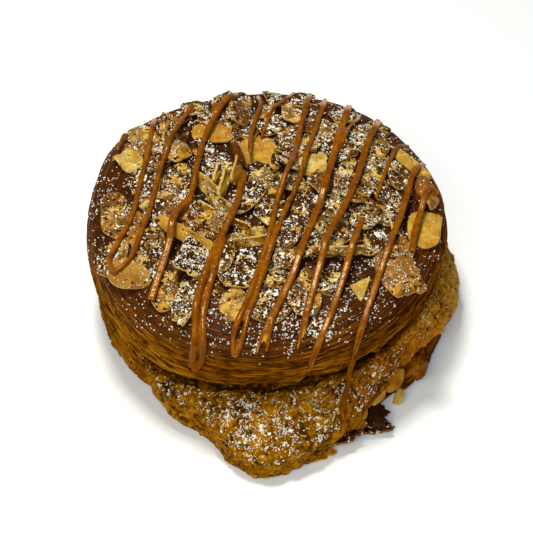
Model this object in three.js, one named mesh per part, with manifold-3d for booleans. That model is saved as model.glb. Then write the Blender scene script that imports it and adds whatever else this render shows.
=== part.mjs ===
// A twice-baked croissant of the round kind: a laminated roll baked in a ring, sliced level, filled
// with almond cream that ran out over the front, and baked again under flaked almonds and caramel.
// Millimetres, +Z up. The origin is the middle of the flat underside and the spill points to -Y.

import * as THREE from 'three';
import { mergeVertices } from 'three/addons/utils/BufferGeometryUtils.js';
import Module from 'manifold-3d';

const wasm = await Module();
wasm.setup();

const { clamp, degToRad, euclideanModulo, lerp, radToDeg } = THREE.MathUtils;

// Driving dimensions. Angles run anticlockwise from +X, so the front is at -90.
const GAP = 0.3; // clearance between neighbouring pieces
const ROUND_RADIUS = 50.5; // widest radius of the upper half, from a ring of about 100 mm
const WIDEST_HEIGHT = 30;
const CROWN_HEIGHT = 41;
const CROWN_FALL = 0.0009; // drop of the crown for each square millimetre of radius
const SHOULDER_RADIUS = 40; // where the flat crown starts to round over
const SHOULDER_POWER = 3;
const CUT_RADIUS = 48; // radius of the sliced edge
const CUT_MIDDLE = 19.5; // height of the slice at its middle
const TORN_INSET = 1.6; // the torn layers under the sliced edge stand back by this
const BASE_TOP = 10.5; // height of the lower half at its middle
const LAYER_RELIEF = 0.35; // depth of the baked layers in the walls
const LUMP_RELIEF = 0.7; // depth of the lumps in the cream's crust
const CREVICE_RADIUS = 37; // the open gap under the upper half starts here
const CREVICE_WIDTH = 4.5; // from its deepest line out to the cream's lip
const LIP_RADIUS = 48.8; // the cream's highest line outside that gap
const FLAKE_THICKNESS = 1.1;
const FLAKE_SINK = 0.4; // how far a flake presses into what carries it
const STEEPEST_REST = 0.3; // steepest slope that a loose flake lies at
const SMALLEST_DETAIL = 0.12; // what is finer is smoothed away when pieces are joined
const THREAD_STEP = 6.2; // spacing of the rings along a caramel thread
const CELL = 1; // spacing of the height map that flakes and caramel rest on

// What changes round the roll, as [angle, value] pairs: radii first, then heights.
const WIDEST = [
  [-180, 50], [-120, 50.3], [-60, 50.5], [0, 51.2], [60, 51], [110, 50.7],
  [132, 52], [148, 52.9], [165, 50.8],
];
const BASE_RADIUS = [
  [-180, 49], [-165, 48.2], [-140, 47.6], [-120, 47.2], [-90, 49], [-65, 51], [-45, 52], [-36, 54],
  [-27, 53.6], [-17, 54], [0, 53.5], [45, 51.5], [110, 50.6], [150, 50],
];
const CREAM_RADIUS = [
  [-180, 47.6], [-140, 47.4], [-128, 50], [-121, 52.4], [-109, 53.8], [-104.5, 56], [-98, 61.6],
  [-90, 65], [-83.5, 63.6], [-72, 59.4], [-60, 54.6], [-52, 52.8], [-42, 51.4], [-31, 51.8], [-22, 54.2],
  [-10, 56.2], [2, 56.6], [20, 55], [45, 53], [100, 52], [150, 50],
];
const CUT_EDGE = [[-180, 14.5], [-127, 16.5], [-87, 22.5], [-56, 24.5], [0, 24.5], [60, 20.5], [120, 16]];
const TORN_DROP = [[-180, 0.3], [-105, 0.4], [-70, 1.6], [-45, 2.6], [-20, 2], [10, 0.8], [90, 0.4]];
const BASE_RIM = [
  [-180, 13.2], [-145, 13.6], [-120, 11.4], [-90, 9.8], [-40, 9.3], [0, 8.8], [60, 10], [120, 12],
];
const CREAM_LIP = [[-180, 13.8], [-127, 14.6], [-90, 18.4], [-50, 20], [0, 19.5], [60, 16.5], [120, 14.2]];
const CREAM_BROW = [
  [-180, 13.7], [-127, 13], [-105, 9.5], [-90, 7.4], [-72, 9], [-45, 11.6], [-20, 11.5], [0, 10.5],
  [90, 11], [150, 12.8],
];
const CREAM_FOOT = [
  [-180, 12.6], [-140, 11.5], [-124, 0.3], [-66, 0.3], [-55, 6], [-40, 8.4], [-25, 8.4], [-12, 3], [15, 3],
  [60, 7], [130, 9],
];
const CREVICE_DEPTH = [[-180, 0.5], [-127, 1.6], [-90, 4], [-50, 4], [0, 3], [90, 1.4]];

// The first layer of almonds is small broken flakes, spread evenly by the golden angle.
const SMALL_FLAKES = 10;
const SMALL_LENGTH = [7, 10];
const SMALL_SPREAD = 39;
const GOLDEN_ANGLE = 137.508;

// The large flakes lie on them, bottom one first: [x, y, length, width, heading].
const LARGE_FLAKES = [
  [2, -33, 18, 13, 65], [10, -4, 18, 9.5, 76], [-41, -3, 19, 9, 101], [-14, 14, 14, 9.5, 100],
  [-25, 10, 12.5, 8.5, 68], [30, -14, 12.5, 9, 28], [35, -1, 13, 8.5, 66], [31, 14, 12, 8.5, 52],
  [7, 27, 14.5, 6.5, 96], [-32, 5, 13, 5.5, 72], [1, 9, 11, 8.5, 8], [-36, -9, 13, 5.5, 78],
  [27, 28, 9, 6.5, 60], [18, 30, 10.5, 6.5, 76], [-30, 24, 10.5, 6, 82], [38, 11, 10, 6.5, 100],
  [-26, -31, 14, 6.5, 78], [-8, -36, 11, 7.5, 82], [18, -27, 11.5, 6.5, 76], [12, -27, 9, 5.5, 82],
  [6, -19, 9.5, 6.5, 70], [-27, -7, 9.5, 6.5, 30], [-17, -10, 10, 5.5, -14], [-36, 28, 10.5, 7.5, 132],
  [-37, 21, 9, 6, 122], [33, 22, 9.5, 6, 70], [-30, 17, 8, 6.5, 40], [-5, -12, 11.5, 5, 14],
  [27, 0, 10.5, 6, 18], [-41, -19, 12, 8.5, 62], [37, -17, 11, 7.5, 62], [2, 1, 9.5, 6.5, 58],
  [23, 14, 10, 5, 70], [-7, -24, 15, 11.5, 86], [-31, -16, 13, 8, 68], [-27, 1, 9.5, 7, 62],
  [22, -11, 12, 7.5, 50], [18, -17, 9, 6.5, -10], [14, 15, 11, 8.5, 18], [-25, 35, 8.5, 5.5, 20],
  [-36, -26, 12, 8.5, -24], [-39, 17, 9.5, 7.5, 140], [42, 17, 14.5, 5, -52], [25, -30, 11, 6.5, 72],
  [-20, -33, 21, 7, 76], [-15, 27.5, 12.5, 7.5, -20], [-2, 21, 12.5, 12, -90], [45, -7, 14, 7.5, 80],
  [37, -26, 18, 11.5, -56],
];

// Flakes that lean on the others: [x, y, length, width, heading, lean].
const LEANING_FLAKES = [
  [-21.5, -13.5, 19, 6.5, -30, 38], [-8, 10.5, 11, 5, 82, 66], [-7, 17, 10, 5, -64, 70],
  [-11.5, 5, 9, 4.5, 78, 68], [-16, 6, 9, 5, -50, 58], [-12.5, -0.5, 11, 4.5, -46, 55],
  [-24, 19, 9, 5.5, 40, 30], [-13.5, -8, 9, 6, -38, 25], [47, 2, 8, 4, 76, 48],
];

// Caramel threads: half their thickness, and their way as [x, y] on the crown or { angle, height } where
// they hang on the wall.
const CARAMEL = [
  { thick: 0.75, way: [[-39.5, 29], [-41, 24], [-42, 20]] },
  { thick: 1.0, way: [[-32, 34], [-34, 13], [-37, -7], [-41.5, -20], [-42, -24.5], [-38.5, -25.5],
    [-33, -11], [-29.5, 10], [-25, 27], [-21, 39]] },
  { thick: 1.15, way: [[-8, 43.5], [-13.5, 33], [-17, 24], [-19.5, 7], [-20.5, 0], [-24, -7],
    [-25.5, -17], [-28.5, -29], [-30, -35]] },
  { thick: 1.1, way: [[-15, 41], [-14, 32.5]] },
  { thick: 0.9, way: [[-2, 45], [-1, 39.5], [-3, 29.5], [-4, 22.5], [-4, 15]] },
  { thick: 1.2, way: [[-5.5, 11], [-8, -4.5], [-12.5, -17], [-16, -28.5], [-18, -38],
    { angle: -111.5, height: 37 }, { angle: -112.5, height: 27.5 }] },
  { thick: 1.1, way: [[-10.5, -15], [-13, -26.5], [-15.5, -38], { angle: -108.3, height: 37 },
    { angle: -109.4, height: 27 }, { angle: -112, height: 26.6 }] },
  { thick: 0.7, way: [[9, 45], [6, 41], [2.5, 36], [0.5, 29], [-1, 25]] },
  { thick: 1.1, way: [[13.5, 44], [10.5, 28.5], [8, 12.5], [4, -1], [0.5, -18], [-4, -34],
    [-7.5, -44], { angle: -100.3, height: 37 }, { angle: -99, height: 35.4 }] },
  { thick: 1.0, way: [[18, 42.5], [15, 30], [12.5, 19.5], [9.5, 5.5], [4, -11], [-0.5, -27.5],
    [-5, -43], { angle: -97.4, height: 37 }, { angle: -98.6, height: 35.2 }] },
  { thick: 1.15, way: [[25, 40.5], [22, 27], [18.5, 11], [15.5, -2.5], [11.5, -14.5], [7.5, -27.5],
    [3.5, -37], [0.5, -44], { angle: -92, height: 36 }] },
  { thick: 0.8, way: [[2.8, -38], [1.6, -44], { angle: -89.3, height: 37 }] },
  { thick: 0.7, way: [[28, 34.5], [25, 30], [23.5, 24.5], [21, 18]] },
  { thick: 1.1, way: [[33.5, 33], [30, 23.5], [26.5, 9.5], [22.5, -3.5], [18, -14], [15, -25],
    [11.5, -38], { angle: -79.5, height: 36.5 }] },
  { thick: 0.8, way: [[42, 26.5], [38.5, 23], [34.5, 12], [31, 0]] },
  { thick: 1.05, way: [[27, -7.5], [23.5, -20], [19, -34.5], [15.5, -44],
    { angle: -75.5, height: 34 }, { angle: -75.8, height: 27 }] },
  { thick: 1.05, way: [[46, 20], [42.5, 12.5], [39.5, 1], [35.5, -13], [31, -26], [27.5, -36.5],
    { angle: -60.8, height: 35 }, { angle: -61.6, height: 26.5 }] },
  { thick: 1.05, way: [[48, 8], [45.5, 3.5], [44, -1], [42.5, -6.5], [41, -12], [40, -18]] },
];
// One thread drips on over the cream, as [x, y] on its crust.
const SPILT_THREAD = { thick: 1, way: [[22.8, -45.6], [22.2, -47.6], [21.4, -49.8], [21.3, -52.8]] };

// Broken crust at the foot of the lower half: [x, y, z, length, width, heading, pitch, roll].
const CRUST_SHARDS = [
  [28.6, -43.8, 4.2, 16, 8, -38, -6, 14],
  [30, -48.6, 1.9, 12, 5, 2, 4, -8],
  [24.2, -45.6, 2.6, 9, 3.5, 22, 0, 24],
];
// Almond flakes stuck in that crust, in the same form.
const STRAY_FLAKES = [
  [37.2, -36, 5.6, 9, 5, 47, 8, 72],
  [31, -41.4, 5, 6, 2.2, 42, 20, 60],
  [37.6, -38.2, 2, 7, 3.4, 40, 24, 35],
];
// Shards and flakes under the edge of the cream.
const EDGE_SHARDS = [[20, -52.8, 2.4, 16, 5.5, 12, 8, -14], [13.4, -55, 1.2, 7, 3.6, 6, 0, 12]];

// A value that runs smoothly through its [angle, value] pairs and closes round the roll.
function around(pairs, angle) {
  const count = pairs.length;
  const at = (index) => {
    const [pairAngle, value] = pairs[euclideanModulo(index, count)];
    return [pairAngle + 360 * Math.floor(index / count), value];
  };
  const wrapped = euclideanModulo(angle - pairs[0][0], 360) + pairs[0][0];
  let start = count - 1;
  while (pairs[start][0] > wrapped) start -= 1;
  const [[a0, v0], [a1, v1], [a2, v2], [a3, v3]] = [-1, 0, 1, 2].map((step) => at(start + step));
  const share = (wrapped - a1) / (a2 - a1);
  const slopeIn = ((v2 - v0) / (a2 - a0)) * (a2 - a1);
  const slopeOut = ((v3 - v1) / (a3 - a1)) * (a2 - a1);
  const rise = share * share * (3 - 2 * share);
  const pullIn = share * (1 - share) * (1 - share) * slopeIn;
  const pullOut = share * share * (share - 1) * slopeOut;
  return v1 + (v2 - v1) * rise + pullIn + pullOut;
}

// Even draws between two bounds, the same on every run.
function seededDraws(seed) {
  let state = seed;
  return (low, high) => {
    state = (state * 16807) % 2147483647;
    return low + (high - low) * (state / 2147483647);
  };
}

// Height of the crown above a point of the plan; far below everything outside the roll.
function crownHeight(x, y) {
  const radius = (Math.hypot(x, y) * ROUND_RADIUS) / around(WIDEST, radToDeg(Math.atan2(y, x)));
  if (radius >= ROUND_RADIUS) return -1000;
  const swell = 0.45 * Math.sin(x / 9 + 1) * Math.cos(y / 11);
  const flat = CROWN_HEIGHT - CROWN_FALL * radius * radius;
  if (radius < SHOULDER_RADIUS) return flat + swell;
  const share = (radius - SHOULDER_RADIUS) / (ROUND_RADIUS - SHOULDER_RADIUS);
  const round = (1 - share ** SHOULDER_POWER) ** (1 / SHOULDER_POWER);
  return WIDEST_HEIGHT + (flat + swell - WIDEST_HEIGHT) * round;
}

function cutHeight(angle, radius) {
  return lerp(CUT_MIDDLE, around(CUT_EDGE, angle), radius / CUT_RADIUS);
}

// Radius of the upper half's wall between the sliced edge and its widest line.
function wallRadius(angle, height) {
  const edge = around(CUT_EDGE, angle);
  const share = clamp((height - edge) / (WIDEST_HEIGHT - edge), 0, 1);
  return lerp(CUT_RADIUS, around(WIDEST, angle), 1 - (1 - share) ** 2);
}

// Baked layers stand out of a wall by turns, and wander up and down round the roll.
function layerRelief(layer, angle) {
  const side = layer % 2 === 0 ? -1 : 1;
  return side * LAYER_RELIEF * (1 + 0.5 * Math.sin(degToRad(7 * angle + 80 * layer)));
}

function polar(angle, radius) {
  return [radius * Math.cos(degToRad(angle)), radius * Math.sin(degToRad(angle))];
}

// Profiles list [radius, height] from the lower pole to the upper one.
function upperProfile(angle) {
  const edge = around(CUT_EDGE, angle);
  const layers = 5;
  const tornRadius = CUT_RADIUS - TORN_INSET;
  const points = [0, 24, 38].map((radius) => [radius, cutHeight(angle, radius)]);
  points.push([tornRadius, cutHeight(angle, tornRadius) - around(TORN_DROP, angle)]);
  points.push([tornRadius + 0.4, edge]);
  for (let layer = 0; layer <= layers; layer += 1) {
    const height = lerp(edge + 0.8, WIDEST_HEIGHT, layer / layers);
    points.push([wallRadius(angle, height) + layerRelief(layer, angle), height]);
  }
  for (const radius of [50, 48.4, 45, 40, 22, 0]) {
    const spread = (radius * around(WIDEST, angle)) / ROUND_RADIUS;
    points.push([spread, crownHeight(...polar(angle, spread))]);
  }
  return points;
}

function baseProfile(angle, grow) {
  const radius = around(BASE_RADIUS, angle) + grow;
  const top = around(BASE_RIM, angle) + grow;
  const layers = 3;
  const points = [[0, -grow - 1], [radius - 2.5, -grow - 1], [radius - 2.5, -grow], [radius - 1.2, 1 - grow]];
  for (let layer = 0; layer <= layers; layer += 1) {
    const height = lerp(2.4, top - 1, layer / layers);
    points.push([radius - 0.4 + layerRelief(layer, angle), height]);
  }
  points.push([radius - 2, top], [0, BASE_TOP + grow]);
  return points;
}

// Lumps of the cream's crust, which fade towards the middle of the roll.
function creamLump(angle, radius) {
  const [x, y] = polar(angle, radius);
  return LUMP_RELIEF * Math.sin(x / 2.1 + 0.4 * y) * Math.sin(y / 1.9 - 0.3 * x);
}

// Height of the cream's crust outside the gap, falling from its lip to its brow.
function creamHeight(angle, radius) {
  const reach = around(CREAM_RADIUS, angle);
  const lip = Math.min(LIP_RADIUS, reach - 1.2);
  const share = clamp((radius - lip) / (reach - lip), 0, 1);
  const fall = lerp(around(CREAM_LIP, angle), around(CREAM_BROW, angle), share ** 1.7);
  return fall + share * creamLump(angle, radius);
}

function creamProfile(angle) {
  const reach = around(CREAM_RADIUS, angle);
  const lip = Math.min(LIP_RADIUS, reach - 1.2);
  const foot = around(CREAM_FOOT, angle);
  const wall = around(CREAM_BROW, angle) - foot;
  const depth = around(CREVICE_DEPTH, angle);
  const points = [[0, 0.3], [reach - 3, foot], [reach - 1.2, foot + 0.15 * wall]];
  points.push([reach + 0.4 * creamLump(angle, reach), foot + 0.45 * wall]);
  points.push([reach - 0.3 + 0.4 * creamLump(angle + 9, reach), foot + 0.75 * wall]);
  for (const share of [0.94, 0.75, 0.5, 0.25, 0]) {
    const radius = lerp(lip, reach, share);
    points.push([radius, creamHeight(angle, radius)]);
  }
  points.push([lip - CREVICE_WIDTH, creamHeight(angle, lip) - depth]);
  points.push([CREVICE_RADIUS + 2, cutHeight(angle, CREVICE_RADIUS + 2) - depth - GAP]);
  points.push([CREVICE_RADIUS, cutHeight(angle, CREVICE_RADIUS) - GAP], [0, CUT_MIDDLE - GAP]);
  return points;
}

// Turns a closed triangle mesh into a solid that can be joined and cut.
function toSolid(geometry) {
  const merged = mergeVertices(geometry, 1e-4);
  const vertProperties = Float32Array.from(merged.attributes.position.array);
  const triVerts = Uint32Array.from(merged.index.array);
  return new wasm.Manifold(new wasm.Mesh({ numProp: 3, vertProperties, triVerts }));
}

function closedMesh(positions, faces) {
  const geometry = new THREE.BufferGeometry();
  geometry.setAttribute('position', new THREE.Float32BufferAttribute(positions.flat(), 3));
  geometry.setIndex(faces.flat());
  return geometry;
}

// A body round the Z axis whose profile changes with the angle.
function turnedBody(profile, segments) {
  const middle = profile(0);
  const rings = middle.length - 2;
  const positions = [[0, 0, middle[0][1]], [0, 0, middle.at(-1)[1]]];
  const faces = [];
  for (let segment = 0; segment < segments; segment += 1) {
    const angle = (360 * segment) / segments - 180;
    for (const [radius, height] of profile(angle).slice(1, -1)) {
      positions.push([...polar(angle, radius), height]);
    }
    const here = 2 + segment * rings;
    const next = 2 + ((segment + 1) % segments) * rings;
    faces.push([0, next, here], [1, here + rings - 1, next + rings - 1]);
    for (let ring = 0; ring < rings - 1; ring += 1) {
      const [low, lowNext] = [here + ring, next + ring];
      faces.push([low, lowNext, lowNext + 1], [low, lowNext + 1, low + 1]);
    }
  }
  return toSolid(closedMesh(positions, faces));
}

// Outline of an almond flake, one unit long and wide: a rounded drop, chipped here and there.
function flakeOutline(corners, chips) {
  const outline = [];
  for (let corner = 0; corner < corners; corner += 1) {
    const turn = (2 * Math.PI * corner) / corners;
    const reach = 0.5 - chips(0, 0.06);
    outline.push([reach * Math.cos(turn), reach * Math.sin(turn) * (1 - 0.28 * Math.cos(turn))]);
  }
  return outline;
}

// A thin plate with a slight bow along its length, both faces split alike.
function plate(outline, length, width, thickness, frame) {
  const positions = [];
  const faces = [];
  const corners = outline.length;
  const bow = 0.05 * length;
  for (const side of [-0.5, 0.5]) {
    const level = bow / 2 + side * thickness;
    positions.push([0, 0, level]);
    for (const [u, v] of outline) positions.push([u * length, v * width, level - 4 * bow * u * u]);
  }
  const upper = corners + 1;
  for (let corner = 0; corner < corners; corner += 1) {
    const here = 1 + corner;
    const next = 1 + ((corner + 1) % corners);
    faces.push([0, next, here], [upper, upper + here, upper + next]);
    faces.push([here, next, upper + next], [here, upper + next, upper + here]);
  }
  return toSolid(closedMesh(positions, faces).applyMatrix4(frame));
}

// The height map of the crown and of what already lies on it.
class HeightMap {
  constructor(height, halfSize) {
    this.half = halfSize;
    this.size = 2 * halfSize + 1;
    this.cells = [];
    for (let row = 0; row < this.size; row += 1) {
      for (let column = 0; column < this.size; column += 1) {
        this.cells.push(height((column - halfSize) * CELL, (row - halfSize) * CELL));
      }
    }
  }

  indexAt(x, y) {
    return (Math.round(y / CELL) + this.half) * this.size + Math.round(x / CELL) + this.half;
  }

  heightNear(x, y, reach) {
    let highest = -1000;
    for (let row = -reach; row <= reach; row += CELL) {
      for (let column = -reach; column <= reach; column += CELL) {
        highest = Math.max(highest, this.cells[this.indexAt(x + column, y + row)]);
      }
    }
    return highest;
  }

  // Cells under an oval flake, as { index, u, v } in the flake's own directions.
  under(x, y, heading, length, width) {
    const [cos, sin] = polar(heading, 1);
    const found = [];
    const reach = Math.ceil(length / 2);
    for (let row = Math.round(y) - reach; row <= Math.round(y) + reach; row += CELL) {
      for (let column = Math.round(x) - reach; column <= Math.round(x) + reach; column += CELL) {
        const u = (column - x) * cos + (row - y) * sin;
        const v = (row - y) * cos - (column - x) * sin;
        const inside = (2 * u / length) ** 2 + (2 * v / width) ** 2 <= 1;
        const index = this.indexAt(column, row);
        if (inside && this.cells[index] > 0) found.push({ index, u, v });
      }
    }
    return found;
  }
}

// Lays a flake on the highest points under it and returns the frame that it takes.
function layFlake(map, [x, y, length, width, heading, lean = 0]) {
  const across = width * Math.cos(degToRad(lean));
  const cells = map.under(x, y, heading, length, across);
  const highest = (test) => Math.max(...cells.filter(test).map(({ index }) => map.cells[index]));
  const slope = (axis, span) => {
    const rise = highest((cell) => cell[axis] > span / 8) - highest((cell) => cell[axis] < -span / 8);
    return clamp(rise / (0.7 * span), -STEEPEST_REST, STEEPEST_REST);
  };
  const slopeU = slope('u', length);
  const slopeV = lean > 0 ? 0 : slope('v', across);
  const clearances = cells.map(({ index, u, v }) => map.cells[index] - slopeU * u - slopeV * v);
  const rest = Math.max(...clearances) - FLAKE_SINK;
  if (lean === 0) {
    for (const { index, u, v } of cells) {
      map.cells[index] = Math.max(map.cells[index], rest + slopeU * u + slopeV * v + FLAKE_THICKNESS);
    }
  }
  const [cos, sin] = polar(heading, 1);
  const along = new THREE.Vector3(cos, sin, slopeU).normalize();
  const normal = new THREE.Vector3().crossVectors(along, new THREE.Vector3(-sin, cos, slopeV)).normalize();
  normal.applyAxisAngle(along, degToRad(lean));
  const side = new THREE.Vector3().crossVectors(normal, along);
  const lift = rest + FLAKE_THICKNESS / 2 + 0.4 * width * Math.sin(degToRad(lean));
  return new THREE.Matrix4().makeBasis(along, side, normal).setPosition(x, y, lift);
}

// All the flakes of the crown, from the small first layer up to the leaning ones.
function crownFlakes(map) {
  const draw = seededDraws(20);
  const rows = [];
  for (let number = 0; number < SMALL_FLAKES; number += 1) {
    const [x, y] = polar(number * GOLDEN_ANGLE, SMALL_SPREAD * Math.sqrt((number + 0.5) / SMALL_FLAKES));
    const length = draw(...SMALL_LENGTH);
    rows.push([x, y, length, length * draw(0.55, 0.75), draw(0, 180)]);
  }
  rows.push(...LARGE_FLAKES, ...LEANING_FLAKES);
  return rows.map((row) => {
    const corners = LARGE_FLAKES.includes(row) ? 8 : 6;
    return plate(flakeOutline(corners, draw), row[2], row[3], FLAKE_THICKNESS, layFlake(map, row));
  });
}

// The middle line of a caramel thread, draped over the crown and stretched over its hollows.
function threadLine(map, { thick, way }) {
  const hang = ({ angle, height }) => {
    const shoulder = height > WIDEST_HEIGHT ? shoulderRadius(height) : wallRadius(angle, height);
    return new THREE.Vector3(...polar(angle, shoulder + 0.6 * thick), height);
  };
  const lay = ([x, y]) => new THREE.Vector3(x, y, crownHeight(x, y) + 0.6 * thick);
  const knots = way.map((stop) => (Array.isArray(stop) ? lay(stop) : hang(stop)));
  const rough = new THREE.CatmullRomCurve3(knots, false, 'centripetal');
  const points = rough.getSpacedPoints(Math.max(3, Math.round(rough.getLength() / THREAD_STEP)));
  for (const point of points) {
    const inside = Math.hypot(point.x, point.y) < ROUND_RADIUS - 2;
    if (inside) point.z = Math.max(point.z, map.heightNear(point.x, point.y, 1) + 0.45 * thick);
  }
  for (let pass = 0; pass < 3; pass += 1) {
    for (let index = 1; index < points.length - 1; index += 1) {
      const chord = (points[index - 1].z + points[index + 1].z) / 2;
      points[index].z = Math.max(points[index].z, chord - 0.25);
    }
  }
  return points;
}

// Radius of the rounded shoulder at a height between the widest line and the crown.
function shoulderRadius(height) {
  const top = CROWN_HEIGHT - CROWN_FALL * SHOULDER_RADIUS * SHOULDER_RADIUS;
  const rise = clamp((height - WIDEST_HEIGHT) / (top - WIDEST_HEIGHT), 0, 0.98);
  const share = (1 - rise ** SHOULDER_POWER) ** (1 / SHOULDER_POWER);
  return lerp(SHOULDER_RADIUS, ROUND_RADIUS, share);
}

// A round thread along points, drawn thin at both ends and closed with a point.
function thread(points, thick) {
  const sides = 5;
  const curve = new THREE.CatmullRomCurve3(points);
  const steps = points.length - 1;
  const { normals, binormals } = curve.computeFrenetFrames(steps);
  const positions = [];
  const faces = [];
  for (let step = 0; step <= steps; step += 1) {
    const middle = curve.getPointAt(step / steps);
    const fromEnd = Math.min(step, steps - step);
    const radius = fromEnd === 0 ? 0.55 * thick : thick;
    for (let side = 0; side < sides; side += 1) {
      const turn = (2 * Math.PI * side) / sides;
      const point = middle.clone();
      point.addScaledVector(normals[step], radius * Math.cos(turn));
      point.addScaledVector(binormals[step], radius * Math.sin(turn));
      positions.push(point.toArray());
    }
  }
  for (let step = 0; step < steps; step += 1) {
    for (let side = 0; side < sides; side += 1) {
      const here = step * sides + side;
      const next = step * sides + ((side + 1) % sides);
      faces.push([here, next, next + sides], [here, next + sides, here + sides]);
    }
  }
  const last = steps * sides;
  for (let side = 1; side < sides - 1; side += 1) {
    faces.push([0, side + 1, side], [last, last + side, last + side + 1]);
  }
  return toSolid(closedMesh(positions, faces));
}

// Shards and stray flakes low on the roll, grown by a clearance when they cut their neighbour.
function lowPlates(rows, corners, seed, grow) {
  const draw = seededDraws(seed);
  return rows.map(([x, y, z, length, width, heading, pitch, roll]) => {
    const turn = new THREE.Euler(degToRad(roll), degToRad(-pitch), degToRad(heading), 'ZYX');
    const frame = new THREE.Matrix4().makeRotationFromEuler(turn).setPosition(x, y, z);
    const outline = flakeOutline(corners, draw);
    return plate(outline, length + 2 * grow, width + 2 * grow, FLAKE_THICKNESS + 2 * grow, frame);
  });
}

const join = (solids) => solids.reduce((whole, solid) => whole.add(solid));

// The triangles of the largest closed shell: sealed hollows are filled and loose scraps dropped.
function outerShell({ vertProperties, triVerts }) {
  const owner = Array.from({ length: vertProperties.length / 3 }, (_, vertex) => vertex);
  const find = (vertex) => {
    let root = vertex;
    while (owner[root] !== root) root = owner[root];
    owner[vertex] = root;
    return root;
  };
  for (let first = 0; first < triVerts.length; first += 3) {
    owner[find(triVerts[first])] = find(triVerts[first + 1]);
    owner[find(triVerts[first + 1])] = find(triVerts[first + 2]);
  }
  const shells = new Map();
  for (let first = 0; first < triVerts.length; first += 3) {
    const root = find(triVerts[first]);
    if (!shells.has(root)) shells.set(root, []);
    shells.get(root).push(...triVerts.subarray(first, first + 3));
  }
  return [...shells.values()].reduce((largest, shell) => (shell.length > largest.length ? shell : largest));
}

function namedMesh(name, solid, color, roughness) {
  const result = solid.simplify(SMALLEST_DETAIL).getMesh();
  const geometry = new THREE.BufferGeometry();
  geometry.setAttribute('position', new THREE.BufferAttribute(result.vertProperties, 3));
  geometry.setIndex(outerShell(result));
  const mesh = new THREE.Mesh(geometry, new THREE.MeshStandardMaterial({ color, roughness, metalness: 0 }));
  mesh.name = name;
  return mesh;
}

// A block whose underside is the table plane trims what stands on it to one flat face.
function tableBlock() {
  const block = new THREE.BoxGeometry(200, 200, 100).deleteAttribute('normal').deleteAttribute('uv');
  return toSolid(block.translate(3, 5, 50));
}

function pastryBase() {
  const body = turnedBody((angle) => baseProfile(angle, 0), 56);
  const bits = [...lowPlates(CRUST_SHARDS, 7, 3, 0), ...lowPlates(STRAY_FLAKES, 8, 5, 0)];
  return namedMesh('pastry_base', join([body, ...bits]).intersect(tableBlock()), 0x7a4a16, 0.75);
}

function almondCream() {
  const body = turnedBody(creamProfile, 62);
  const lowerHalf = turnedBody((angle) => baseProfile(angle, GAP), 56);
  const cutters = [lowerHalf, ...lowPlates(CRUST_SHARDS, 7, 3, GAP), ...lowPlates(STRAY_FLAKES, 8, 5, GAP)];
  const points = SPILT_THREAD.way.map(([x, y]) => {
    const crust = creamHeight(radToDeg(Math.atan2(y, x)), Math.hypot(x, y));
    return new THREE.Vector3(x, y, crust + 0.4 * SPILT_THREAD.thick);
  });
  const toppings = [thread(points, SPILT_THREAD.thick)];
  toppings.push(...lowPlates(EDGE_SHARDS, 8, 7, 0));
  const whole = join([body, ...toppings]).subtract(join(cutters));
  return namedMesh('almond_cream', whole.intersect(tableBlock()), 0x86591a, 0.85);
}

function pastryTop() {
  const body = turnedBody(upperProfile, 56);
  const map = new HeightMap(crownHeight, 56);
  const flakes = crownFlakes(map);
  const threads = CARAMEL.map((row) => thread(threadLine(map, row), row.thick));
  return namedMesh('pastry_top', join([body, ...flakes, ...threads]), 0x4b260d, 0.6);
}

const roll = new THREE.Group();
roll.name = 'twice_baked_croissant';
roll.add(pastryBase(), almondCream(), pastryTop());

export default roll;
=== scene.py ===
# %% [markdown]
# # A twice-baked croissant
# This bake is a round roll of laminated dough, about 100 mm wide. It was sliced level, filled with
# almond cream, covered with flaked almonds and baked a second time. Powdered sugar and cocoa were
# sifted over it, and caramel was drizzled on last.
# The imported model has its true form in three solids. This lesson makes a finer piece for each of them
# from the same measures, and then the almonds, caramel, sugar, cocoa and crumbs as pieces of their own.
# All measures are in millimetres until a mesh is made, because a baker's ruler has no metres.

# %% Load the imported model
import math

import bpy
import numpy as np
from mathutils import Euler, Matrix, Vector
from mathutils.kdtree import KDTree


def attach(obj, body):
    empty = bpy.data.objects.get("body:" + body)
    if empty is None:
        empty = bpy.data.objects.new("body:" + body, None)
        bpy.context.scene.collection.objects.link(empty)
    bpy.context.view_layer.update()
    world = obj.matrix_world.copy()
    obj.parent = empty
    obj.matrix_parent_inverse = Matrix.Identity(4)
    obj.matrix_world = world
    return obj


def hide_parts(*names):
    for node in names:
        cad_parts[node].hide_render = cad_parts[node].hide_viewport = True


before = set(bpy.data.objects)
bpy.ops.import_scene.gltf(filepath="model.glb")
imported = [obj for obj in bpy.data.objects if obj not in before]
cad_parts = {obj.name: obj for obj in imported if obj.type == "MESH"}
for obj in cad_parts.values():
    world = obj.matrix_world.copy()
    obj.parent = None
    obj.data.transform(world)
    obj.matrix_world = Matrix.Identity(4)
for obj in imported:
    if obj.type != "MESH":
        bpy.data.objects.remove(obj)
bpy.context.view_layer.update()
MM = 0.001
print("solids:", sorted(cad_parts))

# %% [markdown]
# ## Camera, floor and light
# The photograph looks down on the roll by 49 degrees, from about half a metre away, with a long lens
# that keeps circles nearly true. The floor is a plain white sheet with a faint light of its own. A small
# soft lamp hangs high above the left shoulder of the roll, so that flakes throw short shadows and the
# caramel shines along its upper left side. A weaker and broader lamp in front keeps the walls readable.

# %% Camera
TARGET = Vector((0.6, -5.0, 20.0)) * MM
LOOK_DOWN = math.radians(49)
DISTANCE = 480 * MM

FOCAL_LENGTH = 113.5

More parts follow.
